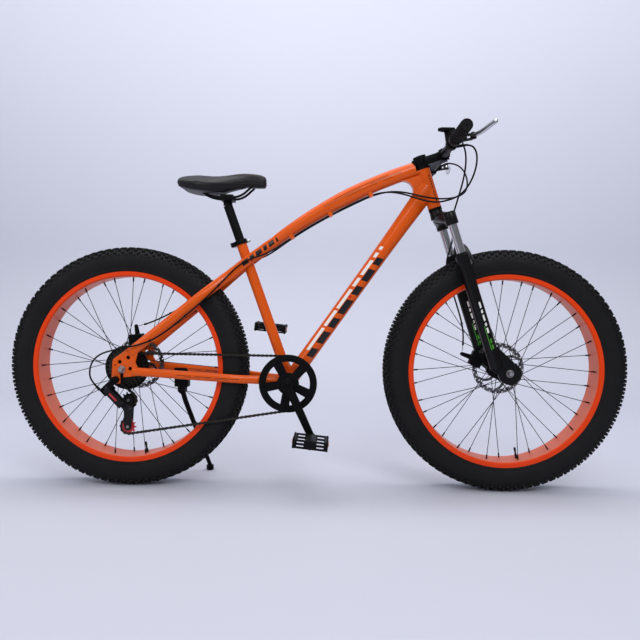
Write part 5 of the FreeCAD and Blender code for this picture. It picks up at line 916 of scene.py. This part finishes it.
wedgePiece, armPiece = rotorWedge(), rotorArm()
for wheel, axle in wheels:
    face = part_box(wheel + "_rotor")[0][1]
    half = rotorForm["thick"] / 2 * mm
    ring = dict(Skin=look["rotorSteel"], Radius=0.0, Side=0.0, Phase=0.0, Lean=0.0, Size=(1, 1, 1))
    band = runTree(pieceRing, Piece=wedgePiece, Rows=rotorForm["wedges"], **ring)
    arms = runTree(pieceRing, Piece=armPiece, Rows=rotorForm["arms"], **ring)
    inner, outer = (radius * mm for radius in rotorForm["boss"])
    bossProfile = [(inner, -half), (outer, -half), (outer, half), (inner, half)]
    boss = ringMesh("boss", bossProfile, rotorForm["bossSteps"])
    turns = [turn + math.pi / rotorForm["arms"] for turn in turnsOf(rotorForm["arms"])]
    reach = rotorForm["boltCircle"] * mm
    heads = [((reach * math.cos(turn), half, reach * math.sin(turn)), left, rotorForm["boltSize"] * mm)
             for turn in turns]
    bolts = boltsAt(heads, look["blackMetal"])
    pieces = [reworked(band, rotorForm["weld"]), arms, boss, bolts]
    rotor = smoothed(merged(wheel + "Rotor", pieces, [0, 0, 0, 1]), rotorForm["smooth"])
    rotor = placed(rotor, Vector((axle.x, face + half, axle.z)))
    settled(addObject(wheel + "Rotor", rotor, look["rotorSteel"], look["blackMetal"]), wheel + "_rotor")
print("rotors done")

# chain: waisted plates with rollers or pin heads, on the links of the solid chain; lengths in mm
chainForm = {"halfPitch": 6.35, "round": 4.1, "waist": 2.5, "arc": 112, "arcSteps": 6, "inner": (1.25, 2.15),
             "outer": (2.3, 3.2), "roller": 3.8, "pin": 1.9, "pinEnd": 3.6, "sides": 8, "leastWidth": 3.0,
             "innerWidth": 5.4, "smooth": 40}


def linkTemplate(name, near, far, radius, reach):
    outline = []
    for end in (1, -1):
        for step in range(chainForm["arcSteps"] + 1):
            turn = math.radians(chainForm["arc"] * (2 * step / chainForm["arcSteps"] - 1))
            outline.append((end * (chainForm["halfPitch"] + chainForm["round"] * math.cos(turn)),
                            end * chainForm["round"] * math.sin(turn)))
        outline.append((0, end * chainForm["waist"]))
    pieces = [stackMesh(name, [[Vector((x, y, z)) * mm for x, z in outline] for y in sides])
              for sides in ((-far, -near), (near, far))]
    for end in (-1, 1):
        middle = Vector((end * chainForm["halfPitch"], 0, 0))
        pieces.append(rodMesh(name, (middle - left * reach) * mm, (middle + left * reach) * mm,
                              [(share, radius * mm) for share in (0, 1)], chainForm["sides"]))
    return addObject(name, merged(name, pieces))


def islandBoxes(mesh):
    # the low and high corner of each separate piece of a mesh
    work = bmesh.new()
    work.from_mesh(mesh)
    boxes, seen = [], set()
    for first in work.verts:
        if first in seen:
            continue
        seen.add(first)
        front, island = [first], []
        while front:
            vertex = front.pop()
            island.append(vertex.co.copy())
            for neighbour in (line.other_vert(vertex) for line in vertex.link_edges):
                if neighbour not in seen:
                    seen.add(neighbour)
                    front.append(neighbour)
        boxes.append([Vector([pick(point[i] for point in island) for i in range(3)]) for pick in (min, max)])
    work.free()
    return boxes


boxes = [(low, high) for low, high in islandBoxes(cadCopy("chain"))
         if high.y - low.y > chainForm["leastWidth"] * mm]
order = [boxes.pop(0)]
while boxes:
    last = order[-1][0] + order[-1][1]
    boxes.sort(key=lambda box: (box[0] + box[1] - last).length)
    order.append(boxes.pop(0))
centres = [(low + high) / 2 for low, high in order]
linkKinds = {"inner": [], "outer": []}
for index, (low, high) in enumerate(order):
    way = centres[(index + 1) % len(order)] - centres[index - 1]
    kind = "inner" if high.y - low.y < chainForm["innerWidth"] * mm else "outer"
    linkKinds[kind].append((centres[index], (0, math.atan2(-way.z, way.x), 0), 1.0))
innerLink = linkTemplate("innerLink", *chainForm["inner"], chainForm["roller"], chainForm["inner"][0])
outerLink = linkTemplate("outerLink", *chainForm["outer"], chainForm["pin"], chainForm["pinEnd"])
chainMesh = merged("chainLinks", [piecesAt(piece, linkKinds[kind], look["darkSteel"])
                                  for piece, kind in ((innerLink, "inner"), (outerLink, "outer"))])
chain = addObject("chainLinks", smoothed(chainMesh, chainForm["smooth"]), look["darkSteel"])
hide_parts("chain")
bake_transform(chain)
print("chain:", {kind: len(held) for kind, held in linkKinds.items()})

# grips: a flanged sleeve with pads set round it
gripForm = {"bar": steerPoint(669, 68), "rows": 12, "ring": 0.0148, "size": (0.0064, 0.0082, 0.0011),
            "first": 0.2215, "pitch": 0.0094, "count": 12, "steps": 40, "smooth": 40,
            "profile": [(0.0113, 0.209), (0.0172, 0.209), (0.018, 0.2098), (0.018, 0.2122), (0.0172, 0.213),
                        (0.0152, 0.2145), (0.0148, 0.216), (0.0148, 0.333), (0.0155, 0.3338),
                        (0.0155, 0.3362), (0.0148, 0.3375), (0.002, 0.3375), (0.002, 0.3355),
                        (0.0113, 0.3355)]}
pieces = []
for sign in (-1, 1):
    pieces.append(ringMesh("gripSleeve", [(r, sign * y) for r, y in gripForm["profile"]], gripForm["steps"]))
    for index in range(gripForm["count"]):
        aside = gripForm["first"] + index * gripForm["pitch"]
        pieces.append(runTree(pieceRing, Piece=gripPad, Skin=look["grip"], Rows=gripForm["rows"],
                              Radius=gripForm["ring"], Side=sign * aside, Phase=0.5 * (index % 2), Lean=0.0,
                              Size=gripForm["size"]))
grip = smoothed(placed(merged("gripPair", pieces), gripForm["bar"]), gripForm["smooth"])
settled(addObject("gripPair", grip, look["grip"]), "grips")
print("grips done")

# pedals: teeth along the edges of the platform and a reflector on each long side; lengths in mm
pedalForm = {"half": 50.0, "thick": 12.0, "from": 104.0, "pitch": 10.0, "count": 8, "inset": 3.2, "tilt": 6.0,
             "tooth": (4.6, 5.2, 2.4), "reflector": (30.0, 13.0, 2.4), "reflectorSide": 139.0}
# soft edges: the width of each node's bevel in mm
softWidths = {"stem": 1.4, "brake_perches": 1.0, "brake_lever_right": 1.2, "brake_lever_left": 1.2,
              "shifter_body": 1.2, "shifter_paddle": 0.9, "crank_arms": 1.8, "kickstand_leg": 1.0,
              "kickstand_bracket": 1.0, "seat_clamp": 0.8, "seat_clamp_lever": 1.0, "dropouts": 0.7,
              "fork_crown": 2.2, "front_caliper": 1.0, "rear_caliper": 1.0, "front_caliper_arm": 0.5,
              "rear_caliper_arm": 0.5, "derailleur_cage": 0.5, "derailleur_outer_link": 0.9,
              "derailleur_inner_link": 0.9, "derailleur_bracket": 0.8, "pedal_right": 0.7, "pedal_left": 0.7,
              "saddle_rails": 0.6, "chainring": 0.35}
softForm = {"angle": 38, "segments": 2}


def pedalTrim(joint, side):
    rows, plates = [], []
    wide, tall, deep = pedalForm["reflector"]
    for end in (-1, 1):
        edge = end * (pedalForm["half"] - pedalForm["inset"])
        for lift in (-1, 1):
            start = Vector((edge, side * pedalForm["from"], lift * pedalForm["thick"])) * mm
            turn = (0 if lift > 0 else math.pi, 0, 0)
            rows.append(runTree(pieceRow, Piece=gripPad, Skin=look["plastic"], Count=pedalForm["count"],
                                Start=start, Step=left * side * pedalForm["pitch"] * mm, Turn=turn,
                                Size=Vector(pedalForm["tooth"]) * mm))
        start = Vector((end * pedalForm["half"], side * pedalForm["reflectorSide"], 0)) * mm
        plates.append(runTree(pieceRow, Piece=gripPad, Skin=look["amber"], Count=1, Start=start,
                              Step=(0, 0, 0), Turn=(0, end * math.pi / 2, 0),
                              Size=Vector((tall, wide, deep)) * mm))
    tilt = Matrix.Rotation(math.radians(pedalForm["tilt"]), 4, "Y")
    place = jointPlace[joint]
    for mesh in rows + plates:
        mesh.transform(Matrix.Translation((place.x, 0, place.z)) @ tilt)
    return rows, plates


def softened(node, width):
    # a machined, cast or moulded node with its edges broken
    skin = look[finishOf[node]]
    obj = addObject(node + "Soft", cadCopy(node), skin)
    addModifier(obj, "BEVEL", width=width, segments=softForm["segments"], limit_method="ANGLE",
                angle_limit=math.radians(softForm["angle"]), use_clamp_overlap=True)
    mesh = smoothed(evaluated(obj))
    if node.startswith("pedal"):
        rows, plates = pedalTrim(node + "_spin", -1 if node.endswith("right") else 1)
        mesh = merged(node + "Soft", [mesh] + rows + plates, [0] * (1 + len(rows)) + [1] * len(plates))
        for material in (skin, look["amber"]):
            mesh.materials.append(material)
    obj.data = mesh
    settled(obj, node)


for node, width in softWidths.items():
    softened(node, width * mm)
print("softened:", len(softWidths))

# bolts, by body: places in mm, the axis and the head's radius
rightWay, leftWay = (0, -1, 0), (0, 1, 0)
ringBolts = {"centre": (-80, 322), "side": -64, "circle": 74, "first": 118, "count": 5, "size": 3.6}
stemBolts = {"up": 669, "rise": 15.5, "ahead": 79, "side": 15, "size": 3.2, "cap": 688, "capSize": 5.0}
centreX, centreZ = ringBolts["centre"]
ringTurns = [math.radians(ringBolts["first"]) + turn for turn in turnsOf(ringBolts["count"])]
boltForm = {
    "frame": ("black_metal", [((-254.1, -14, 732.9), rightWay, 4.4), ((-582.5, -109, 331), rightWay, 8.2),
                              ((-441, 97.3, 322), leftWay, 4.0), ((-420, 97.3, 322), leftWay, 4.0),
                              ((-430.7, 97.3, 274.2), leftWay, 6.0)]),
    "derailleur_cage": ("steel", [((-556, -64, 266), rightWay, 4.6), ((-558.1, -64, 186.3), rightWay, 4.6)]),
    "crank": ("black_metal", [((centreX, 94 * way[1], centreZ), way, 6.0) for way in (rightWay, leftWay)]
              + [((centreX + ringBolts["circle"] * math.cos(turn), ringBolts["side"],
                   centreZ + ringBolts["circle"] * math.sin(turn)), rightWay, ringBolts["size"])
                 for turn in ringTurns]),
    "steer": ("black_metal", [(steerPoint(stemBolts["up"] + stemBolts["rise"] * lift, stemBolts["ahead"],
                                          stemBolts["side"] * side) / mm, steerAhead, stemBolts["size"])
                              for side in (-1, 1) for lift in (-1, 1)]
              + [(steerPoint(stemBolts["cap"]) / mm, steerUp, stemBolts["capSize"])]
              + [((417.9, 200 * side, 1018.9), (-0.174, 0, 0.985), 4.4) for side in (-1, 1)]),
}
boltSmooth = 40
for body, (slot, places) in boltForm.items():
    skin = look["steel" if slot == "steel" else "blackMetal"]
    heads = boltsAt([(Vector(place) * mm, axis, size * mm) for place, axis, size in places], skin)
    trimOn(addObject(body + "Bolts", smoothed(heads, boltSmooth), skin), body)
print("bolts:", sum(len(places) for slot, places in boltForm.values()))

# a red inlay on the derailleur's outer link, laid along its outer face
inlayForm = {"share": (0.3, 0.66), "half": 3.0 * mm, "thick": 1.2 * mm, "sink": 0.5, "draft": 0.08}
linkLow, linkHigh = (Vector(corner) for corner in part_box("derailleur_outer_link"))
first, last = Vector((linkLow.x, linkLow.y, linkHigh.z)), Vector((linkHigh.x, linkLow.y, linkLow.z))
start, end = (first + (last - first) * share for share in inlayForm["share"])
way = (end - start).normalized()
aside = Vector((-way.z, 0, way.x)) * inlayForm["half"]
lift = left * inlayForm["thick"]
corners = [start - aside, end - aside, end + aside, start + aside]
middle = (start + end) / 2
outer = [corner - lift * inlayForm["sink"] - (corner - middle) * inlayForm["draft"] for corner in corners]
inlay = stackMesh("inlay", [[corner + lift for corner in corners], outer])
trimOn(addObject("linkInlay", inlay, look["red"]), "derailleur_outer_link")

# weld beads where a tube meets a round tube
weldForm = {"spacing": 0.0022, "size": (0.0019, 0.0019, 0.0016), "steps": 72, "run": 0.1, "smooth": 60,
            "headTop": 644 * mm, "topEnd": 655, "topBack": (0.262, 0, 0.951), "seatLean": 19.75,
            "staySide": 34 * mm, "stayBack": (-0.5355, 0, 0.356)}
topEnd = steerPoint(weldForm["topEnd"])
topWay = (topEnd - Vector(weldForm["topBack"])).normalized()
seatLean = math.radians(weldForm["seatLean"])
seatWay = Vector((math.sin(seatLean), 0, -math.cos(seatLean)))
stayWay = (crankAxis - Vector(weldForm["stayBack"])).normalized()
# each: the tube's end and way, its half height and width in mm, then the round tube's point, axis and radius
welds = {"top": (topEnd, topWay, 22.0, 18.5, steerFoot, steerUp, 20.0),
         "seat": (crankAxis, seatWay, 15.9, 15.9, crankAxis, left, 21.0)}
for side in (-1, 1):
    stayEnd = crankAxis + left * side * weldForm["staySide"]
    welds["chainStay" + str(side)] = (stayEnd, stayWay, 12.5, 8.5, crankAxis, left, 21.0)


def weldLoop(end, way, tall, wide, axisPoint, axis, radius):
    # where the tube's surface first meets the round tube
    up = way.cross(left).normalized()
    points = []
    for turn in turnsOf(weldForm["steps"]):
        begin = end - way * weldForm["run"] + (up * math.cos(turn) * tall + left * math.sin(turn) * wide) * mm
        gap = begin - axisPoint
        gap -= axis * gap.dot(axis)
        course = way - axis * way.dot(axis)
        a, b, c = course.dot(course), 2 * gap.dot(course), gap.dot(gap) - (radius * mm) ** 2
        points.append(begin + way * ((-b - math.sqrt(max(b * b - 4 * a * c, 0))) / (2 * a)))
    return points


beads = []
for name, loop in welds.items():
    points = weldLoop(*loop)
    kept = [name != "top" or (point - steerFoot).dot(steerUp) < weldForm["headTop"] for point in points]
    line = rawMesh("weldLine", points, [(i, j) for i, j in loopPairs(len(points)) if kept[i] and kept[j]])
    beads.append(runTree(beadLine, line, Piece=bead, Skin=look["framePaint"], Spacing=weldForm["spacing"],
                         Size=weldForm["size"]))
weldMesh = smoothed(merged("welds", beads), weldForm["smooth"])
trimOn(addObject("welds", weldMesh, look["framePaint"]), "frame")
print("welds:", len(welds))

# fork: springs in the legs, wipers on the lowers and caps on the crown; lengths in mm
forkForm = {"ahead": 20.0, "side": 78.0, "lowerTop": 367.0, "socketTop": 494.7, "wiperSteps": 40,
            "capHeight": 6.0, "capSteps": 32, "smooth": 30,
            "wiper": [(12.95, 0.0), (16.8, 0.0), (16.8, 3.0), (15.6, 4.5), (15.6, 6.5), (14.6, 8.5),
                      (12.95, 9.5)],
            "cap": [(0.0, 14.5), (0.5, 14.5), (0.75, 12.5), (0.8, 8.0), (0.65, 7.2), (0.65, 3.0)]}
springForm = {"low": 148.0, "high": 486.0, "coil": 8.3, "wire": 1.5, "sides": 1, "turns": 32, "steps": 12,
              "smooth": 60}
wiperProfile = [(radius * mm, height * mm) for radius, height in forkForm["wiper"]]
capProfile = [(share, radius * mm) for share, radius in forkForm["cap"]]
wipers, caps, coils = [], [], []
for side in (-1, 1):
    aside = side * forkForm["side"]
    seat, foot, top = (steerPoint(up, forkForm["ahead"], aside) for up in (
        forkForm["lowerTop"], forkForm["socketTop"], forkForm["socketTop"] + forkForm["capHeight"]))
    wipers.append(placed(ringMesh("wiper", wiperProfile, forkForm["wiperSteps"]), seat, steerUp))
    caps.append(rodMesh("cap", foot, top, capProfile, forkForm["capSteps"]))
    count = springForm["turns"] * springForm["steps"]
    points = []
    for step in range(count + 1):
        turn = 2 * math.pi * step / springForm["steps"]
        up = springForm["low"] + (springForm["high"] - springForm["low"]) * step / count
        points.append(steerPoint(up, forkForm["ahead"] + springForm["coil"] * math.cos(turn),
                                 aside + springForm["coil"] * math.sin(turn)))
    coils.append(tubeAlong("coil", points, springForm["wire"] * mm, "POLY", springForm["sides"]))
springMesh = smoothed(merged("forkSprings", coils), springForm["smooth"])
springs = addObject("forkSprings", springMesh, look["steel"])
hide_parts("fork_springs")
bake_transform(springs)
for name, meshes, finish, body, slot in (("forkWipers", wipers, "grip", "fork_lowers", "grip_rubber"),
                                         ("forkCaps", caps, "plastic", "steer", "black_plastic")):
    trimOn(addObject(name, smoothed(merged(name, meshes), forkForm["smooth"]), look[finish]), body)
print("fork trim done")

# saddle: a cover inflated over the pad's form
saddleForm = {"shrink": 1.5 * mm, "voxel": 5 * mm, "rounds": 4, "easing": 0.5, "pressure": 4.0, "quality": 5,
              "frames": 20, "cap": 5 * mm, "smooth": 80}
pad = addObject("saddlePad", reworked(cadCopy("saddle"), outward=True), look["saddle"])
addModifier(pad, "REMESH", mode="VOXEL", voxel_size=saddleForm["voxel"])
addModifier(pad, "SMOOTH", iterations=saddleForm["rounds"], factor=saddleForm["easing"])
pad.data = evaluated(pad)
rest = [vertex.co.copy() for vertex in pad.data.vertices]
for vertex in pad.data.vertices:
    vertex.co -= vertex.normal * saddleForm["shrink"]
cloth = pad.modifiers.new("cloth", "CLOTH")
cloth.settings.effector_weights.gravity = 0
cloth.settings.use_pressure = True
cloth.settings.uniform_pressure_force = saddleForm["pressure"]
cloth.settings.quality = saddleForm["quality"]
cloth.collision_settings.use_collision = False
cloth.point_cache.frame_start = 1
cloth.point_cache.frame_end = saddleForm["frames"]
for step in range(1, saddleForm["frames"] + 1):
    bpy.context.scene.frame_set(step)
    bpy.context.view_layer.update()
puffed = evaluated(pad)
bpy.context.scene.frame_set(1)
for vertex, before in zip(puffed.vertices, rest):
    move = vertex.co - before
    if move.length > saddleForm["cap"]:
        vertex.co = before + move.normalized() * saddleForm["cap"]
pad.data = puffed
addModifier(pad, "SUBSURF", levels=1, render_levels=1)
pad.data = smoothed(evaluated(pad), saddleForm["smooth"])
dressed(pad.data, look["saddle"])
settled(pad, "saddle")

# the saddle's piping with a row of stitches over it, laid on the inflated cover
saddleLow, saddleHigh = (Vector(corner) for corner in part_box("saddle"))
seamForm = {"steps": 120, "drop": 0.56, "piping": (0.0014, 0.0014, 0.0022), "pipingGap": 0.0016,
            "stitch": (0.0007, 0.0007, 0.0019), "stitchGap": 0.0052, "stitchUp": 0.005, "smooth": 60,
            "widths": [(0.0, 0.45), (0.05, 0.8), (0.18, 1.0), (0.36, 0.82), (0.54, 0.48), (0.7, 0.32),
                       (0.85, 0.26), (0.95, 0.2), (1.0, 0.1)]}


def widthAt(share):
    for (a, wideA), (b, wideB) in zip(seamForm["widths"], seamForm["widths"][1:]):
        if share <= b:
            return wideA + (wideB - wideA) * (share - a) / (b - a)
    return seamForm["widths"][-1][1]


surface = BVHTree.FromPolygons([vertex.co for vertex in pad.data.vertices],
                               [tuple(polygon.vertices) for polygon in pad.data.polygons])
half = (saddleHigh.y - saddleLow.y) / 2
seamHeight = saddleHigh.z - seamForm["drop"] * (saddleHigh.z - saddleLow.z)
seamLines = {"piping": [], "stitch": []}
for turn in turnsOf(seamForm["steps"]):
    share = (1 - math.cos(turn)) / 2
    x = saddleLow.x + share * (saddleHigh.x - saddleLow.x)
    y = math.copysign(widthAt(share) * half, math.sin(turn)) if 0 < share < 1 else 0
    for kind, lift in (("piping", 0), ("stitch", seamForm["stitchUp"])):
        seamLines[kind].append(surface.find_nearest(Vector((x, y, seamHeight + lift)))[0])
seams = []
for kind, points in seamLines.items():
    line = rawMesh(kind, points, loopPairs(len(points)))
    skin = look["saddle" if kind == "piping" else "thread"]
    seams.append(runTree(beadLine, line, Piece=bead, Skin=skin, Spacing=seamForm[kind + "Gap"],
                         Size=seamForm[kind]))
seam = smoothed(merged("saddleSeam", seams, [0, 1]), seamForm["smooth"])
trimOn(addObject("saddleSeam", seam, look["saddle"], look["thread"]), "seat")
print("saddle done")

for template in (knob, gripPad, boltHead, bead, wedgePiece, armPiece, innerLink, outerLink):
    bpy.data.objects.remove(template)
